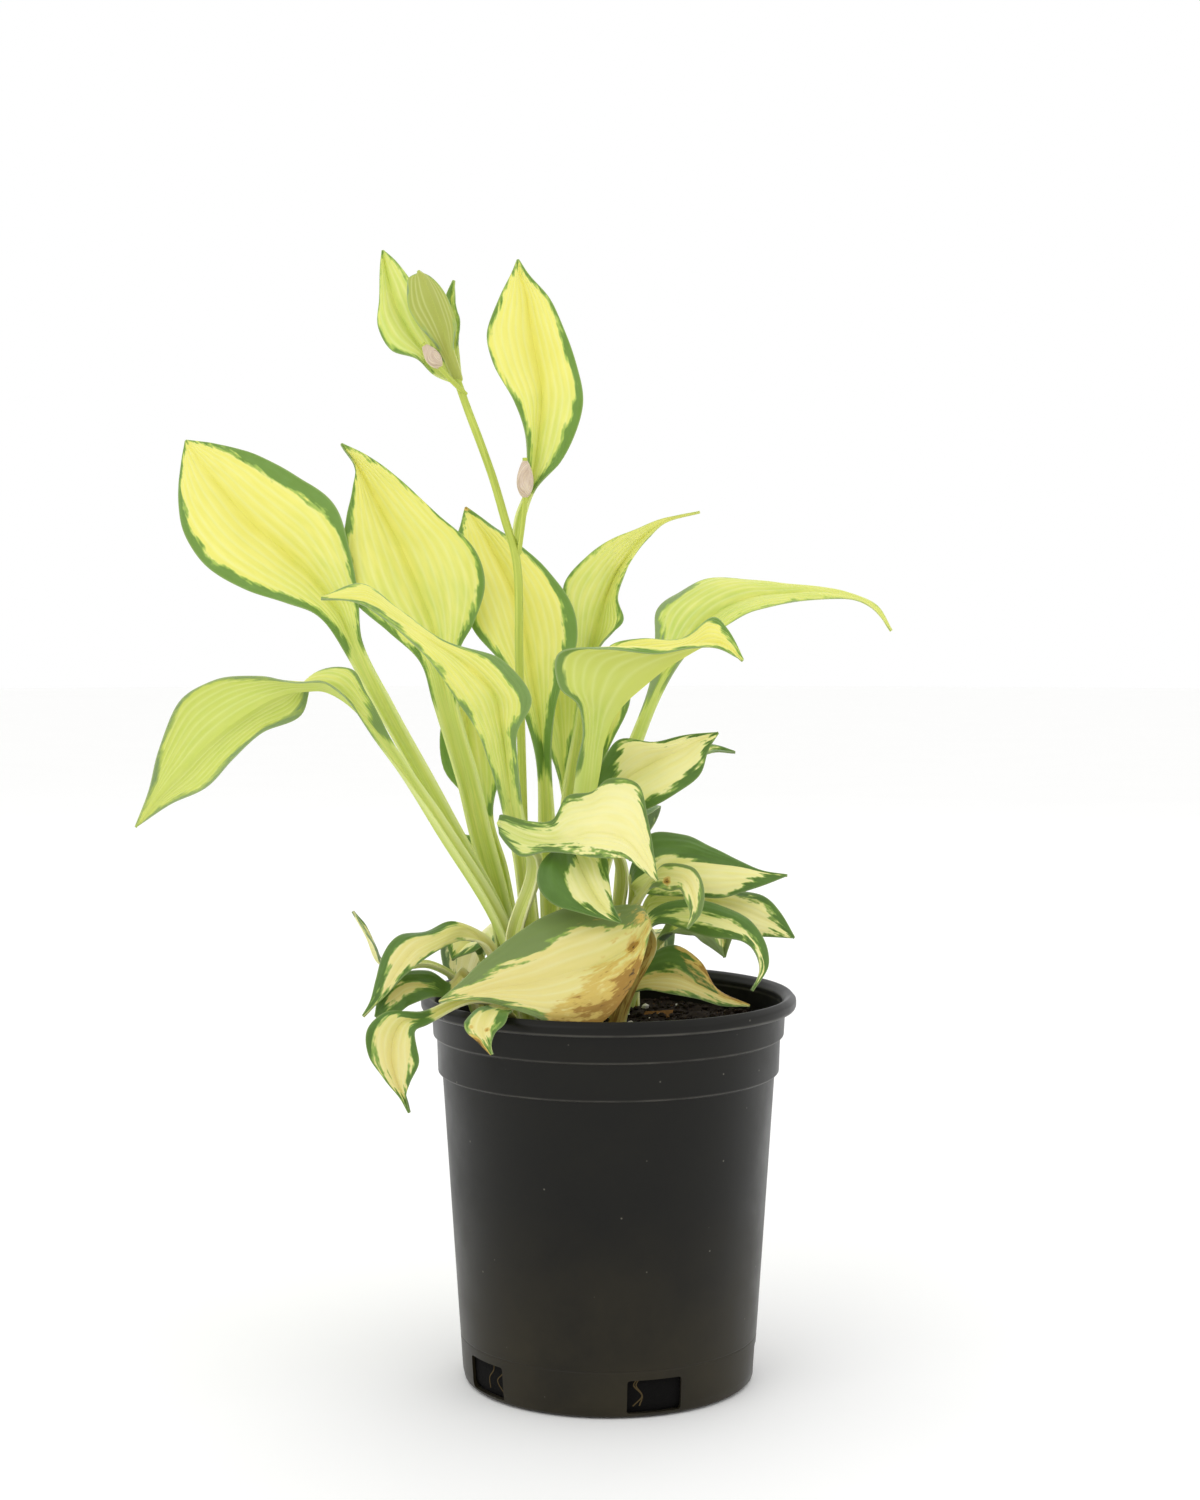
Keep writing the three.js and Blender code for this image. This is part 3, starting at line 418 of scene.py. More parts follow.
speck = add_node(tree, "TexVoronoi", {"Vector": place, "Scale": 1 / (SPECK_SPACING_MM * MM)})
speck_radius = SPECK_RADIUS_MM / SPECK_SPACING_MM
near = add_node(tree, "MapRange", {
    "Value": speck.outputs["Distance"], "From Min": 0.4 * speck_radius,
    "From Max": speck_radius, "To Min": SPECK_STRENGTH, "To Max": 0.0,
}).outputs["Result"]
lot = add_node(tree, "SeparateColor", {"Color": speck.outputs["Color"]}).outputs["Red"]
kept = add_node(tree, "Math", {0: lot, 1: 1 - SPECKS_KEPT}, operation="GREATER_THAN").outputs[0]
dusty = add_node(tree, "Math", {0: near, 1: kept}, operation="MULTIPLY").outputs[0]
print("specks", SPECK_RADIUS_MM * 2, "mm across")

# %% Pot
PEEL_MM = 0.7
GLOSSY, DULL = 0.3, 0.46

gloss = add_node(tree, "MapRange", {
    "Value": smudge, "From Min": 0.3, "From Max": 0.7, "To Min": GLOSSY, "To Max": DULL,
}).outputs["Result"]
peel = add_node(tree, "TexNoise", {
    "Vector": place, "Scale": 1 / (PEEL_MM * MM), "Detail": 2.0}).outputs["Fac"]
relief = add_node(tree, "Bump", {
    "Strength": 0.25, "Distance": 0.05 * MM, "Height": peel}).outputs["Normal"]
# Coats: patchy tone, paler towards the foot, painted highlight on the ledges, and dust specks.
finish_material(tree, "#090908", [
    (smudge, "#181711"), (paler_foot, "#373120"), (ledge_highlight, "#5C5A53"), (dusty, "#8E8A7E"),
], {
    "Roughness": gloss, "IOR": 1.49, "Specular IOR Level": 0.2, "Sheen Weight": 0.07,
    "Sheen Roughness": 0.3, "Sheen Tint": linear("#C4CCD2"), "Normal": relief,
})

pot = make_piece("nursery_pot", pot_bmesh, [plastic], ["pot"])
cut(pot, drain_cutter())

# %% [markdown]
# ## Potting mix
# The pot is filled with peat and composted bark, heaped a little towards the plant. A spun
# profile gives the closed body, whose side follows the wall. Noise then pushes its top about,
# which makes the clods, and loose crumbs, bark and perlite are strewn on it.

# %% Potting mix surface
SOIL_TOP = 156.5
SOIL_MOUND = 2.5
SOIL_LUMP = 0.9
SOIL_CLEARANCE = 0.35
SOIL_LEDGE_LIFT = 0.4
SOIL_RINGS = 44
SOIL_STEPS = 150
CLOD_MM = 9
CLOD_HEIGHT = 1.5
GRIT_MM = 2.6
GRIT_HEIGHT = 0.7


def soil_height(x, y):
    """Height of the mix at a place, in mm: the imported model's slow lumps, clods and grit."""
    middle = max(1 - (x * x + y * y) / BODY_TOP_RADIUS ** 2, 0)
    lumps = math.sin(0.21 * x + 1.3) * math.cos(0.17 * y) + math.sin(0.13 * (x - 1.6 * y))
    clods = noise.noise(Vector((x, y, 3)) / CLOD_MM) * CLOD_HEIGHT
    grit = noise.noise(Vector((x, y, 9)) / GRIT_MM) * GRIT_HEIGHT
    return SOIL_TOP + SOIL_MOUND * middle + SOIL_LUMP * lumps * math.sqrt(middle) + clods + grit


soil_gap = WALL + SOIL_CLEARANCE
soil_bottom = POT_FLOOR + SOIL_CLEARANCE
soil_floor = [(0, soil_bottom), (FOOT_RADIUS - soil_gap - FLOOR_ROUNDING, soil_bottom)]
soil_side = [(radius - soil_gap, height + SOIL_LEDGE_LIFT) for radius, height in OUTER_WALL[:-2]]
soil_edge = soil_side[-1][0]
soil_rings = [(soil_edge * (1 - i / SOIL_RINGS), SOIL_TOP) for i in range(SOIL_RINGS + 1)]
soil_bmesh = spun([*soil_floor, *soil_side, *soil_rings], SOIL_STEPS)
for vert in soil_bmesh.verts:
    x, y, z = vert.co / MM
    if abs(z - SOIL_TOP) < 0.01:
        vert.co.z = soil_height(x, y) * MM
print("potting mix", len(soil_bmesh.verts), "points")

# %% [markdown]
# ### Peat, bark, perlite and roots
# All of these are crumbly or fibrous and scatter light in every direction, so they have no
# gloss and a rough relief. They differ in colour: peat is nearly black, pine bark tan, puffed
# perlite white and young roots buff. Deep in the pot the mix is damp, and painted shade darkens it
# further.

# %% Crumbly materials
CRUMB_MM = 1.6
PATCH_MM = 5
LIT_DRY_ABOVE, SHADED_DAMP_BELOW = 150 * MM, 100 * MM


def crumbly_material(name, dark, mid, light, shaded_damp="#0A0908"):
    """Loose organic matter: patches of dark and mid, light flecks, and painted shade and damp lower
    down.
    """
    material, tree = new_material(name)
    place = add_node(tree, "TexCoord").outputs["Object"]
    grain = add_node(tree, "TexNoise", {
        "Vector": place, "Scale": 1 / (CRUMB_MM * MM), "Detail": 6.0, "Roughness": 0.7,
    }).outputs["Fac"]
    patch = add_node(tree, "TexNoise", {
        "Vector": place, "Scale": 1 / (PATCH_MM * MM), "Detail": 2.0}).outputs["Fac"]
    flecks = add_node(tree, "MapRange", {
        "Value": grain, "From Min": 0.6, "From Max": 0.72}).outputs["Result"]
    # Lower down the colour goes darker: painted shade inside the pot, and damp.
    depth = add_node(tree, "MapRange", {
        "Value": add_node(tree, "SeparateXYZ", {0: place}).outputs["Z"],
        "From Min": LIT_DRY_ABOVE, "From Max": SHADED_DAMP_BELOW}).outputs["Result"]
    relief = add_node(tree, "Bump", {
        "Strength": 0.9, "Distance": 0.5 * MM, "Height": grain}).outputs["Normal"]
    finish_material(tree, dark, [(patch, mid), (flecks, light), (depth, shaded_damp)], {
        "Roughness": 0.95, "Specular IOR Level": 0.15, "Normal": relief,
    })
    return material


peat = crumbly_material("damp_peat", "#17120D", "#2B2118", "#5C4731")
bark = crumbly_material("composted_pine_bark", "#4A3018", "#8A6430", "#B48C4A")
perlite = crumbly_material("expanded_perlite", "#C9C6BC", "#E6E3DA", "#F4F2EC")
# The roots in the drain holes lie low, so they take the dark colour of painted shade and damp
# throughout.
young_root = crumbly_material("young_root", "#5E4E34", "#8A7A56", "#C8B88C", shaded_damp="#4E422A")
make_piece("potting_mix", soil_bmesh, [peat], ["soil"])

# %% [markdown]
# ### Loose bits
# Crumbs, chips and grains lie thick on the mix. A particle system could scatter them, but a
# loop with a seeded random number gives plain meshes, and the same ones each time. Every bit
# is a ball of twenty faces, squashed to the proportions of its kind and roughened by noise:
# one noise, read at three places far apart, pushes each corner along X, Y and Z.

# %% Strewing loose bits
LARGE_SHARE = 0.4
SUNK = 0.25
ROUGHENING = 0.12
ROUGHENING_PER_METRE = 900
ROUGHENING_SHIFTS = [Vector((200 * axis, 0, 0)) for axis in range(3)]


def strewn(count, least, most, spread, seed):
    """Random places on the mix: (x, y, size, bearing) of each bit."""
    draw = random.Random(seed)
    bits = []
    for _ in range(count):
        radius = spread * math.sqrt(draw.random())
        bearing = draw.uniform(0, 2 * math.pi)
        size = draw.uniform(least, most) if draw.random() < LARGE_SHARE else least
        bits.append((radius * math.cos(bearing), radius * math.sin(bearing), size,
                     draw.uniform(0, 2 * math.pi)))
    return bits


def strew(name, bits, shape, material):
    """Lays small lumps on the mix; shape is the three proportions of a lump."""
    bm = bmesh.new()
    lump = bmesh.new()
    bmesh.ops.create_icosphere(lump, subdivisions=1, radius=0.5)
    template = bpy.data.meshes.new("lump")
    lump.to_mesh(template)
    lump.free()
    for x, y, size, bearing in bits:
        tip = Matrix.Rotation(noise.noise(Vector((x, y, 0))), 4, "X")
        turn = Matrix.Rotation(bearing, 4, "Z")
        height = soil_height(x, y) + size * shape[2] * (0.5 - SUNK)
        place = Matrix.Translation(Vector((x, y, height)) * MM)
        copy = template.copy()
        copy.transform(place @ turn @ tip @ Matrix.Diagonal((*Vector(shape) * size * MM, 1)))
        for vert in copy.vertices:
            at = vert.co * ROUGHENING_PER_METRE
            push = Vector([noise.noise(at + shift) for shift in ROUGHENING_SHIFTS])
            vert.co += push * size * ROUGHENING * MM
        bm.from_mesh(copy)
        bpy.data.meshes.remove(copy)
    bpy.data.meshes.remove(template)
    make_piece(name, bm, [material])


# The largest strip of bark and the largest grain are placed one by one.
LONG_STRIP = (22, 16, 17, 0.5)
LARGE_GRAIN = (17, 40, 4, 0)
strew("peat_crumbs", strewn(2600, least=0.9, most=4.2, spread=72, seed=1),
      shape=(1, 0.8, 0.6), material=peat)
strew("bark_chips", strewn(70, least=2.5, most=9, spread=70, seed=2) + [LONG_STRIP],
      shape=(1, 0.35, 0.18), material=bark)
strew("perlite_grains", strewn(60, least=1, most=3, spread=71, seed=3) + [LARGE_GRAIN],
      shape=(1, 0.9, 0.8), material=perlite)

# %% [markdown]
# ## How a hosta leaf is made
# A hosta's leaf is one sheet from foot to tip. The stalk is a deep channel with thin pale
# edges, and it opens without a joint into the blade, where the veins leave the midrib one by
# one and run in long arcs to the tip.
#
# Such a sheet could be bent out of a flat one, but a real leaf twists and folds in its own
# way. So it hangs between three smooth lines that say where it runs: the midrib and the two
# margins. Between them each half is a shallow arch, down in the stalk and up in the blade.

# %% Smooth lines
class Line:
    """A smooth curve, a centripetal Catmull-Rom spline, read by the number of its knots."""

    def __init__(self, knots):
        self.knots = [Vector(knot) for knot in knots]
        self.last = len(self.knots) - 1

    def at(self, place):
        """The point at a place, such as 2.5 for half-way from knot 2 to knot 3."""
        i = min(max(int(place), 0), self.last - 1)
        t = place - i
        p1, p2 = self.knots[i:i + 2]
        p0 = self.knots[i - 1] if i > 0 else p1 * 2 - p2
        p3 = self.knots[i + 2] if i + 2 <= self.last else p2 * 2 - p1
        d0, d1, d2 = ((b - a).length ** 0.5 for a, b in ((p0, p1), (p1, p2), (p2, p3)))
        m1 = ((p1 - p0) / d0 - (p2 - p0) / (d0 + d1) + (p2 - p1) / d1) * d1
        m2 = ((p2 - p1) / d1 - (p3 - p1) / (d1 + d2) + (p3 - p2) / d2) * d1
        return (p1 + m1 * t + (-3 * p1 + 3 * p2 - 2 * m1 - m2) * t ** 2
                + (2 * p1 - 2 * p2 + m1 + m2) * t ** 3)

    def heading(self, place):
        """The direction at a place."""
        before, after = max(place - 0.001, 0), min(place + 0.001, self.last)
        return (self.at(after) - self.at(before)).normalized()

    def length(self, start=0.0, steps=60):
        """The length from a place to the end."""
        places = [start + (self.last - start) * i / steps for i in range(steps + 1)]
        return sum((self.at(b) - self.at(a)).length for a, b in zip(places, places[1:]))


bow = Line([(0, 0, 0), (50, 0, 20), (100, 0, 0)])
print("a line bowed by 20 over 100 mm is", round(bow.length(), 1), "mm long")

# %% Shares and directions
def lerp(a, b, t):
    """The value a share t of the way from a to b."""
    return a + (b - a) * t


def smoothstep(x, low, high):
    """0 below low, 1 above high, and a smooth rise between them."""
    t = min(max((x - low) / (high - low), 0), 1)
    return t * t * (3 - 2 * t)


def keyed(keys, along):
    """A value from keys spread evenly from the blade's base to its tip."""
    t = min(max(along, 0), 1) * (len(keys) - 1)
    i = min(int(t), len(keys) - 2)
    return lerp(keys[i], keys[i + 1], t - i)


def pointing(bearing, rise=0):
    """The direction of a bearing and a rise in degrees; bearing 0 is the front, 90 is +X."""
    b, r = math.radians(bearing), math.radians(rise)
    return Vector((math.sin(b) * math.cos(r), -math.cos(b) * math.cos(r), math.sin(r)))


def upper_way(left, right, heading):
    """Square to the midrib and to the line from margin to margin, on the upper side."""
    return (right - left).cross(heading).normalized()


print("bearing 90 points along", [round(x, 3) for x in pointing(90)])

# %% [markdown]
# ### The three lines
# Where the margins of a blade can be seen well, its table lists them, and only the stalk's
# edges are worked out. A plain blade is an oval of a given width along its midrib, and its
# halves rise a little from it, like the covers of an opened book.

# %% The three lines of a leaf
STALK_EDGE_OUT, STALK_EDGE_UP = 0.62, 0.6
OVAL_TOWARDS_BASE, OVAL_FULLNESS, OVAL_RISE = 0.75, 0.8, math.radians(15)
TIP_HALF_WIDTH = 0.5


def margin_offset(leaf, share):
    """How far a worked-out margin stands to the side of the midrib and above it."""
    if share <= 0:
        return leaf.stalk * STALK_EDGE_OUT, leaf.stalk * STALK_EDGE_UP
    fullness = math.sin(math.pi * share ** OVAL_TOWARDS_BASE) ** OVAL_FULLNESS
    half = max(leaf.width / 2 * fullness, TIP_HALF_WIDTH)
    return half * math.cos(OVAL_RISE), half * math.sin(OVAL_RISE)


def leaf_lines(leaf):
    """The midrib and both margins, with as many knots each, and the measures of the blade."""
    rib = Line(leaf.rib)
    tip = rib.last
    listed = len(leaf.left)
    base = tip - listed if listed else leaf.base
    left, right = ([Vector(knot) for knot in side] for side in (leaf.left, leaf.right))
    if listed:
        ways = [pointing(leaf.bearing), upper_way(left[0], right[0], rib.heading(base)),
                upper_way(left[-1], right[-1], rib.heading(tip - 1))]
    else:
        ways = [pointing(*way) for way in leaf.face]

    def worked_out(k):
        heading = rib.heading(k)
        if k < base:
            up = ways[0].lerp(ways[1], k / base)
        else:
            up = ways[1].lerp(ways[2], (k - base) / (tip - base))
        up = (up - heading * up.dot(heading)).normalized()
        out, lift = margin_offset(leaf, (k - base) / (tip - base))
        side = heading.cross(up)
        return [rib.knots[k] + side * reach + up * lift for reach in (-out, out)]

    before = [worked_out(k) for k in range(base if listed else tip)]
    edges = before + list(zip(left, right)) + [worked_out(tip)]
    margins = [Line(side) for side in zip(*edges)]
    return SimpleNamespace(
        rib=rib, margins=margins, base=base, tip=tip, blade=rib.length(base),
        width=max((a - b).length for a, b in edges[base:]),
    )


strap = leaf_lines(SimpleNamespace(
    rib=[(0, 0, 0), (0, 0, 50), (0, 0, 100), (0, 0, 150)], left=(), right=(), base=1,
    stalk=5, width=40, face=[(0, 0)] * 3))
print("a plain blade is", round(strap.blade), "mm long and", round(strap.width, 1), "mm wide")

# %% The smooth sheet
STALK_BULGE = -0.22
WAVE_COUNT = 2.5


def section_at(lines, place):
    """All about the leaf's cross-section at one place along it."""
    point = lines.rib.at(place)
    edges = [margin.at(place) for margin in lines.margins]
    return SimpleNamespace(
        point=point, edges=edges, up=upper_way(*edges, lines.rib.heading(place)),
        halves=[(edge - point).length for edge in edges],
        along=(place - lines.base) / (lines.tip - lines.base),
        opened=smoothstep(place, lines.base - 1, lines.base + 1),
    )


def half_on(section, q):
    """Width of one half of the sheet."""
    return section.halves[0 if q < 0 else 1]


def surface_point(leaf, section, q):
    """A point of the upper side; q runs from -1 at the left margin to 1 at the right one."""
    reach = abs(q)
    arch = 4 * reach * (1 - reach) * half_on(section, q)
    lift = lerp(STALK_BULGE, leaf.bulge, section.opened) * arch
    wave = math.sin(2 * math.pi * WAVE_COUNT * section.along + q)
    lift += leaf.wave * wave * q * q * section.opened * (1 - section.along)
    return section.point.lerp(section.edges[0 if q < 0 else 1], reach) + section.up * lift


print("half-way up the strap, one half is", round(section_at(strap, 2).halves[0], 1), "mm wide")

# %% [markdown]
# ### Veins
# Between the veins the blade puffs up a little, so that each vein lies in a furrow above and
# stands out as a rib below. That is real relief, a quarter of a millimetre deep, with four
# faces from one vein to the next. There is no vein on the midrib itself or on the margin.

# %% Veins and thickness
VEIN_DEPTH = 0.24
VEIN_NARROWING = 3
VEIN_FULL_WIDTH = 14
MIDRIB_DEPTH = 0.15
MIDRIB_WIDTH = 1.8
MIDRIB_FADE = 0.7
PUFF_MM = 12
PUFF_HEIGHT = 0.6
STALK_RIB_SHARE = 0.46
STALK_MARGIN = 0.9
BLADE_RIB = 1.1
BLADE_MARGIN = 0.62


def vein_at(leaf, section, q):
    """1 on a vein and 0 between two; they run to the tip at a constant share of the width."""
    wave = 0.5 + 0.5 * math.cos(2 * math.pi * leaf.veins * abs(q))
    inner = smoothstep(abs(q), 0.5 / leaf.veins, 0.9 / leaf.veins)
    outer = 1 - smoothstep(abs(q), 0.9, 0.99)
    return wave ** VEIN_NARROWING * inner * section.opened * outer


def relief_at(leaf, section, q, sheet_place):
    """Height of the upper side over the smooth sheet: furrows, midrib and slight puffs."""
    half = half_on(section, q)
    size = min(half / VEIN_FULL_WIDTH, 1) * section.opened
    midrib = math.exp(-(q * half / MIDRIB_WIDTH) ** 2) * (1 - MIDRIB_FADE * max(section.along, 0))
    puff = noise.noise(sheet_place / PUFF_MM)
    return size * (PUFF_HEIGHT * puff - VEIN_DEPTH * vein_at(leaf, section, q)
                   - MIDRIB_DEPTH * midrib)


def thickness_at(leaf, section, q):
    """Thickness of the sheet: most in the stalk's rib, least at the blade's margin."""
    stalk = lerp(leaf.stalk * STALK_RIB_SHARE, STALK_MARGIN, abs(q))
    blade = lerp(BLADE_RIB, BLADE_MARGIN, abs(q))
    return lerp(stalk, blade, section.opened)


print("a blade is", BLADE_RIB, "mm thick at its midrib and", BLADE_MARGIN, "at its margin")

# %% [markdown]
# ### Paint
# Where the green margin ends is worked out point by point, and kept in attributes of the mesh
# for the materials. A painted image would need a map of every leaf, while these numbers come
# from the shape itself:
#
# - sheet: where a point lies on the flat leaf, in mm, with a number that differs from leaf to
#   leaf, so that noise can be stretched along the veins
# - paint: how far inside the green margin and inside a scorched spot a point is, in mm, and how
#   green the middle is
# - trace: nearness to a vein or to the stalk's pale edge, the margin's grey, and nearness to
#   the very edge
# - aged: how tanned the leaf is, and how much painted shade darkens it

# %% Paint on the sheet
FAR_OUTSIDE = -12
SPOT_MM = 8
EDGE_LINE_MM = 0.8
STALK_EDGE, STALK_EDGE_FROM = 2, 0.55
GREEN_BEGINS = (-0.12, 0.02)
LIME_FADES = (-0.25, 0.75)


def spots_at(spots, q, along):
    """How far inside the nearest of some oval spots, each (q, along, q radius, along radius)."""
    inside = [1 - math.hypot((q - at) / wide, (along - on) / long)
              for at, on, wide, long in spots]
    return max(max(inside, default=FAR_OUTSIDE) * SPOT_MM, FAR_OUTSIDE)


def paint_at(leaf, section, q):
    """The paint of a point: green, scorch and how lime the middle is."""
    along = section.along
    inward = half_on(section, q) * (1 - abs(q))
    green = keyed(leaf.green[0 if q < 0 else 1], along) - inward
    green = lerp(FAR_OUTSIDE, max(green, FAR_OUTSIDE), smoothstep(along, *GREEN_BEGINS))
    lime = leaf.lime + (1 - leaf.lime) * (1 - smoothstep(along, *LIME_FADES))
    return Vector((green, spots_at(leaf.scorch, q, along), lime))


def trace_at(leaf, section, q):
    """The trace of a point: vein or stalk's edge, grey of the margin, and very edge."""
    stalk_edge = STALK_EDGE * (1 - section.opened) * smoothstep(abs(q), STALK_EDGE_FROM, 1)
    inward = half_on(section, q) * (1 - abs(q))
    edge = section.opened * (1 - smoothstep(inward, 0, EDGE_LINE_MM))
    return Vector((max(vein_at(leaf, section, q), stalk_edge), leaf.glaucous, edge))


print("a spot fades out over", SPOT_MM, "mm, and the pale edge is", EDGE_LINE_MM, "mm wide")

# %% [markdown]
# ### From a grid to a leaf
# A flat grid has the right faces already: rows across the leaf, and columns along it. Each
# point is moved to its place on the sheet, then down by the thickness. An extrusion gives the
# upper side, and its points go back up, so that the leaf is closed round its margin.

# %% The leaf's mesh
FACES_A_VEIN = 4
NOISE_APART = 37


def painted_grid(leaf, rows, number):
    """The smooth upper side, in mm, with its paint, and each point's q and section."""
    lines = leaf_lines(leaf)
    stalk_rows, blade_rows = rows
    places = []
    for knot in range(lines.tip):
        count = stalk_rows if knot < lines.base else blade_rows
        places += [knot + i / count for i in range(count)]
    sections = [section_at(lines, place) for place in places + [lines.tip]]
    bm = bmesh.new()
    sheet, paint, trace = (bm.verts.layers.float_vector.new(name)
                           for name in ("sheet", "paint", "trace"))
    aged = bm.verts.layers.float.new("aged")
    mark = bm.verts.layers.int.new("mark")
    bmesh.ops.create_grid(bm, x_segments=leaf.veins * 2 * FACES_A_VEIN,
                          y_segments=len(places), size=1)
    spots = []
    for i, vert in enumerate(bm.verts):
        q, section = vert.co.x, sections[round((vert.co.y + 1) / 2 * len(places))]
        spots.append((q, section))
        flat = q * math.sqrt(half_on(section, q) * lines.width / 2)
        vert.co = surface_point(leaf, section, q)
        vert[sheet] = (flat, section.along * lines.blade, number * NOISE_APART)
        vert[paint] = paint_at(leaf, section, q)
        vert[trace] = trace_at(leaf, section, q)
        vert[aged] = leaf.aged
        vert[mark] = i
    return bm, spots


def leaf_bmesh(leaf, rows, number):
    """The whole leaf as one closed sheet, in metres; rows are those a knot in stalk and blade."""
    bm, spots = painted_grid(leaf, rows, number)
    sheet = bm.verts.layers.float_vector["sheet"]
    mark = bm.verts.layers.int["mark"]
    bm.normal_update()
    lifts = []
    for vert, (q, section) in zip(bm.verts, spots):
        thickness = thickness_at(leaf, section, q)
        relief = relief_at(leaf, section, q, Vector(vert[sheet]))
        lifts.append(vert.normal * thickness * MM)
        vert.co = (vert.co + vert.normal * (relief - thickness)) * MM
    underside = bm.faces[:]
    for face in underside:
        face.material_index = 1
    upper = bmesh.ops.extrude_face_region(bm, geom=underside, use_keep_orig=True)["geom"]
    for item in upper:
        if isinstance(item, bmesh.types.BMVert):
            item.co += lifts[item[mark]]
        elif isinstance(item, bmesh.types.BMFace):
            item.material_index = 0
    bm.verts.layers.int.remove(mark)
    bmesh.ops.recalc_face_normals(bm, faces=bm.faces)
    return bm


print("a leaf with seven veins a side is", 7 * 2 * FACES_A_VEIN, "faces wide")

# %% [markdown]
# ## Leaf colours
# A leaf is a wet, waxy film over cells full of light, so it looks satin on top, scatters light
# inside, and glows when lit from behind. The cream middle has no chlorophyll, the margin has,
# and the border between them is ragged along the veins, because each strip of cells kept its
# own kind as the leaf grew.
#
# So three noises are stretched along the veins: streaks in the colour, fine teeth and large
# blotches. They push the border of the green about, and then the borders of the scorch, which
# goes from straw to dark brown. The same nodes serve every leaf with its own palette.

# %% Ragged borders
# Each noise: mm a patch across the veins, mm along them, and how much detail it has.
STREAK = (2.4, 18, 1.0)
TOOTH = (1.1, 4, 2.0)
BLOTCH = (7, 14, 3.0)
# How far, in mm, the three noises push the border of the green, and that of the scorch.
RAGGED_MM = (6.0, 2.0, 9.0)
BURNT_MM = (8.0, 8.0, 22.0)


def along_veins(tree, across, along, detail):
    """Noise on a flat leaf or stem, with so many mm a patch across its veins and along."""
    sheet = add_node(tree, "Attribute", attribute_name="sheet").outputs["Vector"]
    flat = add_node(tree, "VectorMath", {
        0: sheet, 1: (1 / across, 1 / along, 1.0)}, operation="MULTIPLY").outputs["Vector"]
    return add_node(tree, "TexNoise", {
        "Vector": flat, "Scale": 1.0, "Detail": detail, "Roughness": 0.6}).outputs["Fac"]


def ragged_border(tree, value, noises, reaches, low, high):
    """1 inside a patch and 0 outside; each noise pushes its border about by its reach."""
    for push, reach in zip(noises, reaches):
        value = add_node(tree, "Math", {
            0: push, 1: reach, 2: value}, operation="MULTIPLY_ADD").outputs[0]
    middle = sum(reaches) / 2
    return add_node(tree, "MapRange", {
        "Value": value, "From Min": low + middle, "From Max": high + middle,
    }, interpolation_type="SMOOTHSTEP").outputs["Result"]


print("a streak is", STREAK[0], "by", STREAK[1], "mm")

# %% Leaf material
# Where a green or a brown sets in and where it is full, in mm inside its margin or spot.
HALF_GREEN, FULL_GREEN = (-1.2, 0.0), (-0.1, 1.0)
SCORCH = [("#CDB45E", -3.0, 0.5), ("#A07C34", 1.5, 4.0), ("#54401E", 7.0, 9.0)]
LIME_RAGGED = 0.5
STREAK_STRENGTH = 0.45
EDGE_STRENGTH = 0.5
GLOW_DEPTH = 1.6 * MM
# Real cells are a tenth as wide; they are drawn coarse enough to show.
CELL_MM = 0.45


def leaf_material(name, palette, roughness):
    """A variegated leaf's skin."""
    material, tree = new_material(name)
    paint, trace = (
        add_node(tree, "SeparateXYZ", {
            0: add_node(tree, "Attribute", attribute_name=layer).outputs["Vector"]})
        for layer in ("paint", "trace"))
    noises = [along_veins(tree, *sizes) for sizes in (STREAK, TOOTH, BLOTCH)]
    streak, _, blotch = noises

    lime = ragged_border(tree, paint.outputs["Z"], [blotch], [LIME_RAGGED], 0.0, 1.0)
    bright = add_node(tree, "MapRange", {
        "Value": streak, "From Min": 0.35, "From Max": 0.7, "To Max": STREAK_STRENGTH,
    }).outputs["Result"]
    # This coat tans a leaf and darkens it, partly as painted shade where the leaf lies in shade.
    aged = add_node(tree, "Attribute", attribute_name="aged").outputs["Fac"]
    vein, edge = (
        add_node(tree, "Math", {
            0: trace.outputs[axis], 1: strength}, operation="MULTIPLY").outputs[0]
        for axis, strength in (("X", palette.vein_strength), ("Z", EDGE_STRENGTH)))

    ragged = [reach * palette.ragged for reach in RAGGED_MM]
    half_green, full_green = (
        ragged_border(tree, paint.outputs["X"], noises, ragged, low, high)
        for low, high in (HALF_GREEN, FULL_GREEN))
    green = linear(palette.green)
    for factor, coat in ((blotch, palette.dark_green), (trace.outputs["Y"], palette.glaucous)):
        green = add_node(tree, "Mix", {
            FACTOR: factor, UNDER: green, OVER: linear(coat)}, data_type="RGBA").outputs[MIXED]
    burns = [(ragged_border(tree, paint.outputs["Y"], noises, BURNT_MM, low, high), shade)
             for shade, low, high in SCORCH]

    cells = add_node(tree, "TexNoise", {
        "Vector": add_node(tree, "TexCoord").outputs["Object"],
        "Scale": 1 / (CELL_MM * MM), "Detail": 1.0}).outputs["Fac"]
    relief = add_node(tree, "Bump", {
        "Strength": 0.12, "Distance": 0.1 * MM, "Height": cells}).outputs["Normal"]
    finish_material(tree, palette.middle, [
        (lime, palette.base), (bright, palette.streak), (aged, palette.aged),
        (vein, palette.vein), (half_green, palette.half_green), (full_green, green),
        (edge, palette.edge), *burns,
    ], {
        "Roughness": roughness, "IOR": 1.42, "Specular IOR Level": 0.4,
        "Subsurface Weight": 0.35, "Subsurface Radius": (1.0, 1.0, 0.45),
        "Subsurface Scale": GLOW_DEPTH, "Normal": relief,
    })
    return material


print("scorch goes through", [shade for shade, _, _ in SCORCH])
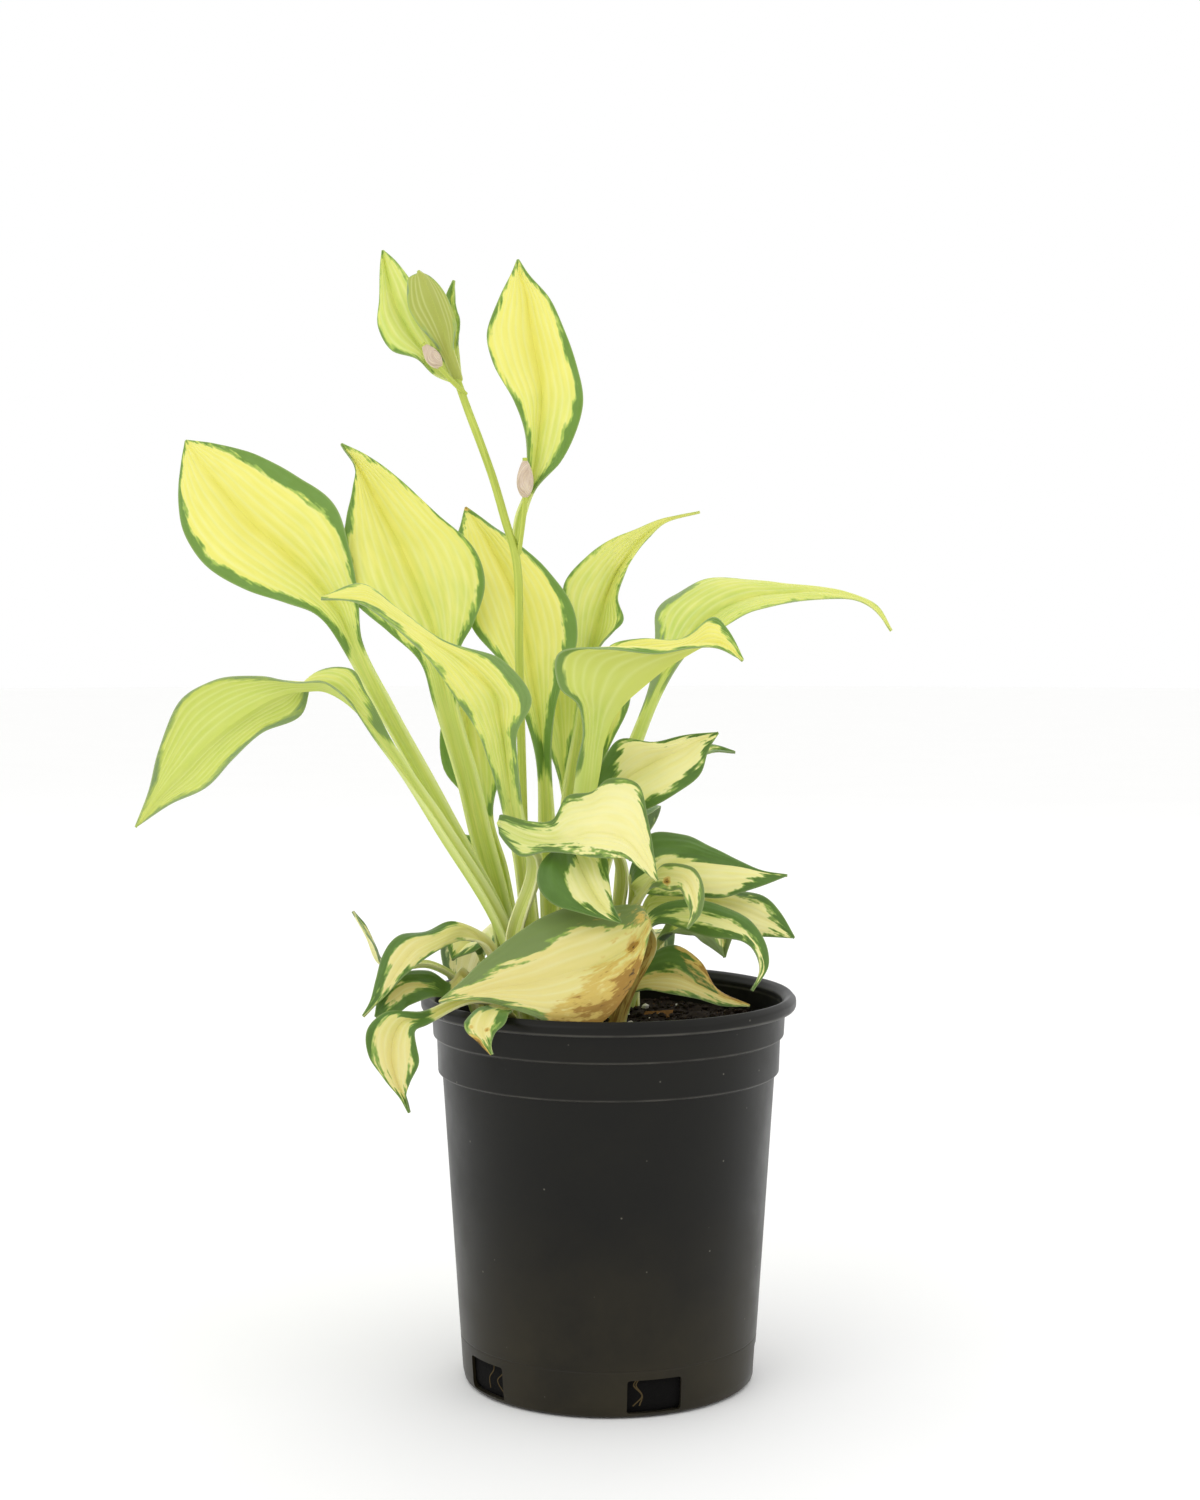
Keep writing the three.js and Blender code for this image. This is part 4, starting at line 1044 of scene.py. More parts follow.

# %% Palettes
# Each palette's aged colour is a tan, and also painted shade for leaves in shade.
LIME = SimpleNamespace(
    middle="#E4DF70", base="#C0D166", streak="#EEE98A", vein="#E6EAB4", vein_strength=0.32,
    half_green="#A3BC55", green="#75994A", dark_green="#688A2A", glaucous="#93A573",
    edge="#A0AE78", aged="#A5A850", ragged=1.0,
)
CREAM = SimpleNamespace(
    middle="#E9E39A", base="#BECB62", streak="#F0EBB4", vein="#E6E8B8", vein_strength=0.25,
    half_green="#8AA64C", green="#658A3C", dark_green="#436219", glaucous="#7A8C50",
    edge="#8C9B68", aged="#D2C272", ragged=1.4,
)
# The undersides are greyer and matt, and their colours are also darker, as painted shade.
LIME_UNDER = SimpleNamespace(
    middle="#CBD268", base="#BBCD5E", streak="#D2D87A", vein="#E0E6A4", vein_strength=0.32,
    half_green="#A6B860", green="#7E9A52", dark_green="#6C8C3C", glaucous="#98A884",
    edge="#9CAA7E", aged="#A5AA51", ragged=0.8,
)
CREAM_UNDER = SimpleNamespace(
    middle="#DDD994", base="#B6C664", streak="#E2DFA8", vein="#E6E4B4", vein_strength=0.3,
    half_green="#93A868", green="#6F8A52", dark_green="#58733C", glaucous="#7C9070",
    edge="#8E9C74", aged="#BDB36C", ragged=1.5,
)
lime_skins = [leaf_material("waxy_lime_leaf", LIME, 0.42),
              leaf_material("matt_shaded_lime_underside", LIME_UNDER, 0.6)]
cream_skins = [leaf_material("waxy_cream_leaf", CREAM, 0.4),
               leaf_material("matt_shaded_cream_underside", CREAM_UNDER, 0.58)]
print("leaf skins", [m.name for m in lime_skins + cream_skins])

# %% [markdown]
# ## The leaves of this plant
# Each leaf's table gives its shape in millimetres and degrees, and how it is painted:
#
# - rib: the midrib from the foot in the mix to the tip
# - left, right: the margins seen from the upper side with the tip up, a point for each point of
#   the midrib from the blade's base up to the one before the tip
# - bearing: where the stalk's channel opens at the foot; 0 is the front, and 90 is +X
# - base, width, face: for a plain blade, in place of its margins: the midrib's point where the
#   blade starts, its greatest width, and where the upper side looks, as (bearing, rise), at the
#   foot, the base and the tip
# - stalk: half the flat width of the stalk
# - bulge: how far each half of the blade bulges up, as a share of its width
# - wave: height of the waves in the margin
# - veins: how many run in each half
# - green: width of the green margin, on the left and on the right, from base to tip; less than
#   nothing leaves it bare
# - scorch: oval brown spots, each (q, along, q radius, along radius)
# - lime, glaucous, aged: how green its middle is, how grey its margin, and how tanned and darkened
#   by painted shade it is

# %% What a leaf has unless its table says otherwise
LEAF_DEFAULTS = dict(
    left=(), right=(), width=0, stalk=5.5, bulge=0.12, wave=1.2, veins=7,
    scorch=(), lime=0.0, glaucous=0.0, aged=0.0,
)
print("a leaf has", LEAF_DEFAULTS["veins"], "veins a side unless its table says otherwise")

# %% Tall leaves
UPPER_LEAVES = {
    "leaf_upper_left": dict(
        rib=[(-37, -5, 147), (-45, -4, 193), (-75, -1, 253), (-99, 8, 296), (-113, 14, 323),
          (-119, 17, 337), (-130, 23, 352), (-145, 31, 366), (-162, 40, 380), (-178, 50, 397),
          (-190, 60, 411), (-196, 66, 419)],
        left=[(-117, 11, 322), (-129, 11, 338), (-144, 14, 344), (-163, 20, 350), (-181, 30, 360),
          (-194, 43, 377), (-198, 57, 399)],
        right=[(-110, 12, 327), (-111, 12, 345), (-115, 15, 366), (-122, 22, 387), (-139, 32, 400),
          (-160, 44, 411), (-181, 57, 417)],
        bearing=60,
        green=((3, 5, 5, 5, 4, 2), (1.5, 2, 2.5, 5, 9, 5.5, 1.5, 1)),
    ),
    "leaf_upper_middle": dict(
        rib=[(-42, 5, 147), (-48, 6, 203), (-58, 10, 243), (-63, 12, 265), (-72, 12, 301),
          (-75, 15, 317), (-78, 18, 332), (-85, 24, 350), (-93, 31, 368), (-102, 38, 384),
          (-110, 46, 398), (-116, 52, 408), (-123, 58, 417)],
        left=[(-78, 8, 301), (-84, 10, 318), (-98, 12, 331), (-115, 14, 347), (-119, 20, 363),
          (-118, 28, 381), (-116, 38, 396), (-116, 49, 407)],
        right=[(-68, 9, 304), (-66, 11, 323), (-60, 12, 335), (-55, 16, 352), (-60, 22, 368),
          (-77, 29, 384), (-96, 39, 401), (-110, 49, 411)],
        bearing=20, stalk=7,
        green=((1.5, 2.5, 4, 4, 3, 1.5, 1), (2, 3.5, 3.5, 2, 1, 1, 1)), lime=0.2,
    ),
    "leaf_arching_middle": dict(
        rib=[(-28, -12, 147), (-34, -14, 201), (-38, -18, 237), (-42, -20, 256), (-44, -24, 274),
          (-46, -29, 290), (-49, -35, 305), (-61, -42, 318), (-75, -48, 328), (-90, -52, 338),
          (-102, -55, 345), (-120, -57, 346)],
        left=[(-46, -23, 255), (-51, -29, 274), (-56, -37, 289), (-64, -44, 302), (-72, -51, 315),
          (-81, -55, 326), (-93, -57, 337), (-105, -58, 344)],
        right=[(-38, -23, 258), (-39, -28, 274), (-39, -33, 288), (-33, -36, 303), (-46, -37, 320),
          (-69, -41, 328), (-87, -44, 340), (-104, -49, 352)],
        bearing=0,
        green=((1.5, 1.5, 1.2, 1.2, 1.5, 2, 1), (1.5, 3, 4.5, 5.5, 5, 2, 1, 0.6)),
        lime=0.25, glaucous=0.3,
    ),
    "leaf_drooping_left": dict(
        rib=[(-38, -17, 147), (-45, -16, 196), (-73, -16, 245), (-97, -20, 284), (-110, -24, 299),
          (-120, -26, 306), (-130, -27, 307), (-142, -29, 304), (-156, -31, 296), (-170, -33, 285),
          (-183, -34, 272), (-194, -33, 260), (-203, -31, 248)],
        left=[(-100, -24, 285), (-113, -31, 303), (-122, -35, 310), (-133, -36, 311),
          (-148, -35, 313), (-168, -35, 311), (-182, -36, 303), (-192, -36, 281), (-197, -35, 263)],
        right=[(-95, -16, 285), (-104, -19, 303), (-111, -18, 316), (-127, -14, 314),
          (-133, -20, 295), (-149, -26, 288), (-161, -31, 277), (-172, -34, 265), (-187, -33, 258)],
        bearing=70,
        green=((1, 1.5, 1.5, 1.2, 1, 0.8), (2, 3, 3, 1.5, 1, 0.8)), lime=0.4, glaucous=0.4,
    ),
    "leaf_upper_centre": dict(
        rib=[(-25, 8, 147), (-26, 10, 198), (-27, 12, 234), (-29, 17, 274), (-31, 21, 291),
          (-34, 25, 309), (-37, 30, 327), (-42, 37, 345), (-49, 44, 360), (-56, 51, 373),
          (-62, 57, 382), (-66, 61, 388)],
        left=[(-32, 14, 273), (-39, 16, 297), (-48, 17, 317), (-60, 21, 331), (-67, 28, 346),
          (-70, 37, 360), (-70, 47, 372), (-68, 55, 380)],
        right=[(-26, 14, 276), (-23, 17, 300), (-18, 19, 315), (-14, 22, 327), (-16, 28, 342),
          (-26, 37, 357), (-41, 46, 371), (-54, 55, 380)],
        bearing=5,
        green=((5, 5, 4.5, 3, 2, 1.5, 2), (6, 7, 7, 6.5, 5, 5, 5, 3)),
        scorch=[(0, 1, 0.9, 0.03)],
    ),
    "leaf_upper_right": dict(
        rib=[(-21, 20, 147), (-20, 20, 197), (-19, 24, 232), (-16, 30, 262), (-12, 36, 297),
          (-9, 42, 315), (-6, 47, 329), (-2, 53, 343), (3, 59, 356), (10, 64, 367), (17, 68, 375),
          (27, 72, 382), (43, 74, 386)],
        left=[(-14, 33, 297), (-17, 36, 320), (-20, 38, 340), (-20, 44, 353), (-10, 51, 365),
          (1, 59, 373), (13, 65, 378), (25, 71, 383)],
        right=[(-9, 34, 300), (-4, 37, 325), (7, 40, 336), (4, 47, 346), (7, 54, 356),
          (12, 61, 365), (19, 67, 374), (27, 72, 381)],
        bearing=-20,
        green=((1, 1.6, 0.8, -1, -2), (1, 3.5, 0.5, -1, -2)), lime=0.45,
    ),
    "leaf_far_right": dict(
        rib=[(-15, 10, 147), (-11, 14, 211), (2, 20, 253), (21, 32, 304), (32, 38, 321),
          (42, 43, 333), (52, 47, 341), (65, 51, 346), (81, 54, 348), (98, 56, 349), (112, 57, 347),
          (123, 57, 342), (131, 56, 331)],
        left=[(18, 30, 304), (21, 35, 327), (22, 42, 340), (32, 51, 349), (45, 59, 355),
          (66, 62, 354), (88, 62, 352), (106, 61, 350), (124, 58, 343)],
        right=[(24, 30, 303), (36, 34, 321), (52, 35, 333), (63, 38, 339), (75, 43, 342),
          (88, 48, 345), (102, 52, 346), (114, 55, 345), (122, 56, 341)],
        bearing=-30,
        green=((4, 4, 2, 0.5, -1, -2), (0.5, 0, -2)), lime=0.6, glaucous=0.7,
    ),
    "leaf_arching_right": dict(
        rib=[(-20, -8, 147), (-18, -12, 201), (-13, -14, 236), (-6, -18, 268), (-3, -22, 283),
          (1, -26, 294), (7, -30, 302), (15, -34, 310), (25, -39, 318), (35, -44, 324),
          (43, -48, 327), (49, -52, 326), (56, -55, 320)],
        left=[(-5, -14, 269), (-2, -14, 286), (-1, -14, 302), (-3, -16, 316), (0, -20, 325),
          (14, -26, 328), (31, -33, 329), (44, -41, 338), (50, -48, 333)],
        right=[(-14, -21, 271), (-11, -28, 287), (-14, -35, 301), (-21, -41, 308), (-21, -46, 322),
          (-3, -49, 325), (20, -51, 323), (35, -53, 325), (45, -55, 325)],
        bearing=-40,
        green=((1, 0, 0, 0, 1, 2, 4, 1), (1, 2, 4.5, 5, 4, 2, 1, 0.5)),
    ),
}
print("tall leaves", len(UPPER_LEAVES))

# %% Small leaves round the foot, and those behind
LOWER_LEAVES = {
    "leaf_inner_left": dict(
        rib=[(-40, 27, 147), (-44, 30, 195), (-49, 34, 222), (-56, 40, 247), (-62, 46, 269),
          (-65, 52, 292), (-64, 58, 308)],
        base=3, width=30, face=[(0, 10), (10, 10), (10, 30)],
        veins=5, green=((8, 8, 3), (3, 3, 2)), lime=0.5,
    ),
    "leaf_inner_small": dict(
        rib=[(-35, 17, 147), (-47, 20, 197), (-53, 24, 219), (-59, 26, 232), (-66, 28, 239)],
        base=2, width=14, face=[(0, 10), (0, 10), (0, 40)],
        veins=3, green=((4, 4, 4), (4, 4, 4)), lime=0.6,
    ),
    "leaf_right_cream": dict(
        rib=[(-5, 27, 147), (2, 24, 190), (7, 17, 224), (-3, 8, 247), (1, 4, 258), (9, 0, 267),
          (20, -3, 274), (31, -5, 279), (40, -6, 284), (48, -7, 287)],
        left=[(-5, 6, 250), (-6, 1, 265), (-2, -2, 276), (5, -4, 284), (20, -5, 283),
          (33, -6, 286)],
        right=[(0, 5, 245), (10, -3, 251), (20, -9, 255), (30, -11, 261), (40, -10, 269),
          (44, -8, 280)],
        bearing=-60,
        veins=5, green=((9, 10, 8, 5, 1.5, 2, 2, 2), (0, 2, 4, 5, 4.5, 3.5, 2, 1.5)),
    ),
    "leaf_right_tip": dict(
        rib=[(-5, 36, 147), (-4, 38, 208), (8, 40, 245), (26, 42, 266), (44, 42, 276),
          (58, 40, 276)],
        base=2, width=16, face=[(-60, 20), (-20, 50), (0, 75)],
        veins=3, green=((3, 3, 3), (3, 3, 3)),
    ),
    "leaf_front_curled": dict(
        rib=[(-30, -20, 147), (-40, -33, 198), (-31, -36, 235), (-48, -36, 250), (-34, -42, 245),
          (-24, -47, 244), (-15, -52, 246), (-7, -57, 248), (1, -61, 248), (8, -65, 245),
          (14, -68, 238), (20, -70, 229)],
        left=[(-47, -33, 253), (-34, -38, 251), (-24, -43, 252), (-18, -42, 262), (-7, -45, 264),
          (0, -47, 270), (12, -55, 268), (16, -64, 254)],
        right=[(-47, -38, 246), (-38, -47, 237), (-27, -51, 239), (-16, -58, 239), (-7, -63, 238),
          (0, -67, 238), (7, -69, 238), (14, -70, 233)],
        bearing=0, stalk=5, wave=0,
        veins=6, green=((3.5, 3, 3, 3.5, 2, 3.5, 3.5, 2), (4, 3, 2.2, 1.5, 0.8, 0.5, 0.5)),
        glaucous=0.3,
    ),
    "leaf_front_small": dict(
        rib=[(-11, -16, 147), (-13, -22, 188), (-16, -28, 222), (-16, -38, 240), (-13, -43, 234),
          (-10, -48, 228), (-6, -52, 221), (-1, -55, 215), (5, -57, 210)],
        left=[(-10, -40, 241), (-1, -46, 236), (0, -51, 229), (1, -54, 222), (2, -56, 217)],
        right=[(-22, -40, 239), (-29, -48, 234), (-30, -54, 225), (-24, -57, 218), (-12, -58, 214)],
        bearing=180, wave=0,
        veins=5, green=((3, 4, 1, 1, 1), (14, 15, 13, 10, 6, 3)), lime=0.3,
    ),
    "leaf_right_green": dict(
        rib=[(4, 23, 147), (9, 22, 183), (12, 16, 212), (10, 4, 219), (21, 0, 226), (33, -3, 229),
          (45, -6, 229), (58, -9, 228), (68, -11, 226), (78, -13, 225)],
        left=[(10, 10, 227), (19, 10, 241), (34, 7, 241), (46, 0, 236), (57, -6, 231),
          (67, -10, 227)],
        right=[(14, 1, 215), (25, -5, 215), (37, -9, 215), (50, -12, 215), (60, -13, 218),
          (69, -13, 221)],
        bearing=-90, wave=0,
        veins=5, green=((14, 14, 13, 9, 5, 3), (1, 1, 1.5, 2, 4, 2)),
    ),
    "leaf_right_pale": dict(
        rib=[(4, 13, 147), (11, 13, 175), (15, 10, 196), (18, 4, 210), (34, 1, 211), (49, -4, 211),
          (61, -9, 208), (71, -13, 204), (81, -16, 198)],
        left=[(19, 9, 215), (37, 7, 217), (55, 2, 217), (68, -5, 215), (75, -11, 209)],
        right=[(19, 1, 206), (32, -3, 202), (46, -8, 198), (59, -12, 198), (70, -14, 198)],
        bearing=-90, wave=0,
        veins=4, green=((2, 2, 3, 4, 5, 4), (0.8, 0.8, 0.8, 3)),
    ),
    "leaf_right_drooping": dict(
        rib=[(-2, 3, 147), (6, -2, 177), (10, -7, 190), (20, -10, 206), (35, -18, 208),
          (48, -27, 207), (58, -34, 203), (64, -40, 196), (66, -43, 188), (61, -44, 179)],
        left=[(20, -6, 210), (36, -12, 214), (49, -21, 213), (61, -30, 207), (68, -38, 196),
          (68, -42, 189)],
        right=[(20, -12, 203), (34, -22, 202), (46, -32, 200), (57, -37, 199), (62, -42, 196),
          (64, -44, 188)],
        bearing=-90,
        veins=3, green=((5, 6, 6, 5, 3), (4, 4, 2, 1, 1)),
    ),
    "leaf_curled_cream": dict(
        rib=[(-7, -6, 147), (0, -14, 178), (8, -22, 204), (18, -34, 225), (25, -42, 228),
          (32, -48, 227), (35, -52, 222), (36, -54, 214), (33, -55, 207)],
        left=[(19, -31, 228), (26, -40, 233), (36, -48, 232), (40, -52, 224), (39, -54, 214)],
        right=[(18, -36, 222), (25, -45, 222), (30, -51, 223), (32, -54, 219), (34, -54, 213)],
        bearing=-110,
        veins=3, green=((1, 2, 2.5, 2.5, 1.5), (0.8, 0.8, 0.8)), glaucous=0.6,
        aged=0.2, scorch=[(0.4, 0.2, 0.25, 0.03)],
    ),
    "leaf_right_shaded": dict(
        rib=[(7, 34, 147), (14, 33, 172), (25, 33, 191), (38, 32, 198), (50, 31, 194),
          (53, 28, 183)],
        base=2, width=26, face=[(-90, 20), (-60, 70), (10, 20)],
        veins=4, green=((6, 6, 6), (6, 6, 6)), glaucous=0.8,
    ),
    "leaf_front_large": dict(
        rib=[(-1, -16, 147), (8, -22, 176), (17, -30, 196), (17, -46, 210), (11, -52, 201),
          (-1, -57, 194), (-16, -61, 190), (-31, -64, 186), (-45, -66, 184), (-60, -67, 181),
          (-71, -66, 178)],
        left=[(18, -49, 206), (14, -60, 194), (9, -67, 184), (-3, -70, 170), (-18, -72, 168),
          (-35, -72, 174), (-55, -69, 179)],
        right=[(14, -40, 215), (1, -40, 215), (-12, -41, 216), (-26, -46, 212), (-40, -53, 204),
          (-51, -59, 196), (-62, -64, 186)],
        bearing=180, wave=0,
        veins=6, glaucous=0.8, aged=0.6,
        green=((1, 1, 1, 1.5, 3, 5, 4, 2, 1), (9, 14, 16, 10.5, 15, 10.5, 6.5, 3, 1)),
        scorch=[(-1, 0.3, 0.65, 0.18), (-1, 0.5, 0.4, 0.12), (-0.15, 0.16, 0.3, 0.04),
                (0, -0.5, 1.6, 0.45)],
    ),
    "leaf_right_front": dict(
        rib=[(4, -7, 147), (7, -10, 165), (11, -12, 178), (8, -14, 177), (17, -16, 180),
          (28, -20, 182), (39, -24, 178), (49, -27, 174), (61, -28, 170)],
        left=[(7, -11, 180), (16, -8, 188), (28, -11, 194), (40, -19, 188), (47, -25, 177)],
        right=[(6, -16, 173), (16, -22, 176), (27, -27, 175), (39, -29, 173), (49, -29, 170)],
        bearing=-90, wave=0,
        veins=4, green=((4, 9, 12, 11, 6, 1), (0.8, 0.8, 0.8)), aged=0.8,
        scorch=[(-1, 0.66, 0.7, 0.15), (-0.6, 0.88, 0.8, 0.12)],
    ),
    "leaf_over_rim": dict(
        rib=[(-24, -26, 147), (-29, -44, 167), (-37, -56, 175), (-47, -70, 176), (-50, -80, 174),
          (-52, -86, 169), (-50, -89, 165), (-48, -90, 160)],
        left=[(-41, -72, 175), (-42, -82, 173), (-46, -87, 169), (-48, -90, 165)],
        right=[(-52, -68, 176), (-59, -78, 173), (-59, -84, 169), (-54, -88, 165)],
        bearing=135, stalk=3,
        veins=3, green=((6, 4, 1, 0.5, 0.5), (6, 5, 1, 0.5, 0.5)), aged=0.5,
        scorch=[(1, 0.8, 0.35, 0.2), (-0.35, 0.49, 0.15, 0.04), (0.6, 0.45, 0.1, 0.03)],
    ),
    "leaf_hanging_left": dict(
        rib=[(-35, -26, 147), (-44, -42, 170), (-59, -50, 176), (-78, -58, 170), (-86, -61, 169),
          (-90, -63, 163), (-91, -64, 154), (-89, -63, 144), (-86, -62, 137), (-84, -61, 130)],
        left=[(-76, -61, 168), (-81, -66, 165), (-80, -69, 159), (-79, -70, 153), (-83, -67, 144),
          (-85, -63, 137)],
        right=[(-79, -59, 172), (-94, -62, 173), (-101, -66, 166), (-100, -68, 155),
          (-94, -66, 145), (-88, -63, 137)],
        bearing=135, stalk=3,
        veins=4, green=((6, 3, 2, 2, 1.5), (8, 3.5, 2, 2, 1.5)), aged=0.45,
    ),
    "leaf_left_cream": dict(
        rib=[(-44, -24, 147), (-47, -24, 180), (-54, -26, 197), (-63, -28, 204), (-73, -33, 201),
          (-83, -37, 196), (-89, -40, 189), (-94, -42, 181), (-99, -43, 174), (-105, -43, 168)],
        left=[(-63, -30, 199), (-74, -37, 194), (-82, -41, 190), (-87, -42, 185), (-93, -43, 179),
          (-98, -43, 174)],
        right=[(-67, -24, 206), (-78, -27, 203), (-90, -30, 201), (-97, -34, 193), (-100, -38, 183),
          (-102, -41, 174)],
        bearing=90,
        veins=4, green=((0.8, 0.8, 0.8), (3, 5, 5.5, 4, 2.5, 1.5)), aged=0.5,
    ),
    "leaf_left_sliver": dict(
        rib=[(-56, 5, 147), (-65, 1, 174), (-79, -4, 184), (-92, -10, 184), (-100, -14, 187),
          (-105, -17, 199), (-111, -18, 210)],
        base=3, width=11, stalk=3, face=[(90, 20), (90, 70), (90, 10)],
        veins=3, green=((1, 1, 1), (2.5, 2.5, 2)),
    ),
    "leaf_left_dark": dict(
        rib=[(-53, -14, 147), (-59, -18, 172), (-64, -21, 182), (-69, -24, 176), (-78, -28, 179),
          (-87, -31, 180), (-92, -34, 177), (-96, -37, 173), (-100, -39, 167)],
        left=[(-69, -26, 174), (-77, -32, 174), (-85, -36, 172), (-89, -38, 169), (-95, -39, 168)],
        right=[(-70, -21, 179), (-78, -23, 185), (-89, -26, 184), (-96, -31, 180), (-99, -35, 175)],
        bearing=90,
        veins=4, green=((5, 5.5, 5, 3), (5, 5.5, 5, 3)), aged=0.6,
    ),
    "leaf_left_shaded": dict(
        rib=[(-53, 16, 147), (-55, 14, 177), (-58, 10, 188), (-62, 5, 193), (-65, 0, 191),
          (-69, -5, 187)],
        base=2, width=22, stalk=3, face=[(90, 20), (90, 70), (-20, 40)],
        veins=4, green=((5, 5, 3), (5, 5, 3)),
    ),
    "leaf_back_tall": dict(
        rib=[(-20, 33, 147), (-18, 40, 200), (-20, 52, 262), (-28, 68, 312), (-42, 90, 343),
          (-57, 116, 350), (-70, 140, 334)],
        base=2, width=46, face=[(0, 10), (0, 40), (190, 50)],
        green=((2, 4, 5, 3, 2), (3, 5, 3, 4, 2)),
    ),
    "leaf_back_bent": dict(
        rib=[(-13, 41, 147), (-11, 49, 206), (-7, 62, 262), (-5, 80, 293), (-3, 104, 299),
          (0, 126, 286)],
        base=2, width=32, face=[(0, 10), (0, 50), (180, 50)],
        veins=6, green=((2, 4, 3, 2), (2, 3, 4, 2)), lime=0.2,
    ),
    "leaf_back_low": dict(
        rib=[(2, 45, 147), (5, 51, 200), (6, 63, 234), (8, 84, 244), (10, 104, 236),
          (11, 120, 218)],
        base=2, width=34, face=[(0, 20), (0, 60), (170, 50)],
        veins=5, green=((3, 5, 2), (3, 4, 2)),
    ),
    "leaf_back_rim_left": dict(
        rib=[(-44, 38, 147), (-49, 50, 172), (-54, 64, 183), (-59, 78, 186), (-64, 93, 181),
          (-69, 106, 166), (-71, 113, 147)],
        base=2, width=34, stalk=3, face=[(0, 20), (-40, 70), (-150, 20)],
        veins=5, green=((3, 4, 5, 2), (3, 6, 3, 2)),
    ),
    "leaf_back_rim_right": dict(
        rib=[(12, 44, 147), (12, 56, 172), (13, 68, 183), (15, 82, 186), (17, 97, 180),
          (19, 109, 164), (20, 115, 146)],
        base=2, width=32, stalk=3, face=[(0, 20), (0, 70), (170, 20)],
        veins=5, green=((3, 5, 3, 2), (3, 3, 5, 2)), aged=0.3,
    ),
}
print("small leaves and those behind", len(LOWER_LEAVES))

# %% [markdown]
# ## Growing the leaves
# One function makes the piece of any leaf out of its table. The upper and the lower side have
# skins of their own, because a hosta's underside is greyer and matt; the underside's colours are
# also darker, as painted shade. Two small leaves and two of those behind belong with the lime ones.

# %% Growing every leaf
TALL_ROWS = (10, 10)
SMALL_ROWS = (8, 8)
SMALL_STALK = 4
LIME_TOO = ("leaf_inner_left", "leaf_inner_small", "leaf_back_tall", "leaf_back_bent")


def grow(piece, node, number, table, rows, skins):
    """Makes the piece of one leaf; by its number, its noise differs from that of the others."""
    leaf = SimpleNamespace(**{**LEAF_DEFAULTS, **table})
    make_piece(piece, leaf_bmesh(leaf, rows, number), skins, [node])


for number, (name, table) in enumerate(UPPER_LEAVES.items()):
    grow("hosta_" + name, name, number, table, TALL_ROWS, lime_skins)
for number, (name, table) in enumerate(LOWER_LEAVES.items(), start=len(UPPER_LEAVES)):
    skins, slot = cream_skins, "leaf_cream"
    if name in LIME_TOO:
        skins, slot = lime_skins, "leaf_lime"
    grow("hosta_" + name, name, number, {"stalk": SMALL_STALK, **table}, SMALL_ROWS, skins)

# %% [markdown]
# ## Rods
# The flower stem, the stalks of its buds and the roots are round rods. A curve object with a
# round bevel would give one too, but a grid rolled up round a smooth line also keeps the place
# of each point along the rod, which the stripes of the skin follow. Its seam is merged and its
# ends are filled.

# %% Rods
SEED_APART = 13
SWELLS = 9


def rod_bmesh(line, radius_at, sides, rows, unevenness=0.0, seed=0):
    """A round rod along a line; radius_at gives its radius, in mm, at a share and a turn."""
    bm = bmesh.new()
    sheet = bm.verts.layers.float_vector.new("sheet")
    bmesh.ops.create_grid(bm, x_segments=sides, y_segments=rows, size=1)
    reference = line.heading(0).orthogonal()
    length = line.length()
    for vert in bm.verts:
        turn, share = vert.co.x * math.pi, (vert.co.y + 1) / 2
        place = share * line.last
        point, along = line.at(place), line.heading(place)
        across = along.cross(reference).normalized()
        front = across.cross(along)
        swell = noise.noise(Vector((math.cos(turn), share * SWELLS, seed)))
        radius = radius_at(share, turn) * (1 + unevenness * swell)
        vert[sheet] = (turn * radius, share * length, seed * SEED_APART)
        vert.co = (point + across * math.cos(turn) * radius + front * math.sin(turn) * radius) * MM
    bmesh.ops.remove_doubles(bm, verts=bm.verts, dist=1e-7)
    open_edges = [edge for edge in bm.edges if edge.is_boundary]
    bmesh.ops.holes_fill(bm, edges=open_edges)
    bmesh.ops.recalc_face_normals(bm, faces=bm.faces)
    return bm


def joined(parts):
    """Several bmeshes as one."""
    whole = bmesh.new()
    for part in parts:
        mesh = bpy.data.meshes.new("part")
        part.to_mesh(mesh)
        part.free()
        whole.from_mesh(mesh)
        bpy.data.meshes.remove(mesh)
    return whole


test_rod = rod_bmesh(bow, lambda share, turn: 2, sides=8, rows=10)
open_count = sum(edge.is_boundary for edge in test_rod.edges)
print("a test rod has", len(test_rod.faces), "faces and", open_count, "open edges")
test_rod.free()

# %% [markdown]
# ### Roots in the drain holes
# Thin roots have found the drain holes, and wander across them just inside the wall. They lie
# half sunk in the mix.

# %% Feeder roots
ROOTS_A_HOLE = 2
ROOT_RADIUS = 0.35
ROOT_UNEVENNESS = 0.1
ROOT_DEPTH = soil_gap + 0.15
ROOT_WANDER = 0.05
ROOT_HEIGHTS = (1.2, 0.85, 0.5, 0.2)

draw = random.Random(8)
strands = []
reach = DRAIN_WIDTH / 2 / FOOT_RADIUS
for middle in DRAIN_BEARINGS:
    for _ in range(ROOTS_A_HOLE):
        bearing = middle + draw.uniform(-reach, reach)
        knots = []
        for share in ROOT_HEIGHTS:
            turn = Matrix.Rotation(bearing + draw.uniform(-ROOT_WANDER, ROOT_WANDER), 3, "Z")
            height = DRAIN_BOTTOM + DRAIN_HEIGHT * share
            knots.append(turn @ Vector((0, ROOT_DEPTH - body_radius(height), height)))
        strands.append(rod_bmesh(Line(knots), lambda share, turn: ROOT_RADIUS,
                                 sides=8, rows=24, unevenness=ROOT_UNEVENNESS))
make_piece("feeder_roots", joined(strands), [young_root])

# %% [markdown]
# ## The flower stem
# One round stem stands among the stalks, with a few leafy bracts that clasp it and two buds
# at the feet of the bracts. Its skin is waxy and finely striped, and that of the buds is
# papery. A bud is a rod as well, whose radius swells to a spindle and has a shallow furrow
# between every two of its folded tepals.

# %% Striped skins
STEM_STRIPES = (0.8, 40, 3.0)
BUD_STRIPES = (0.7, 9, 3.0)


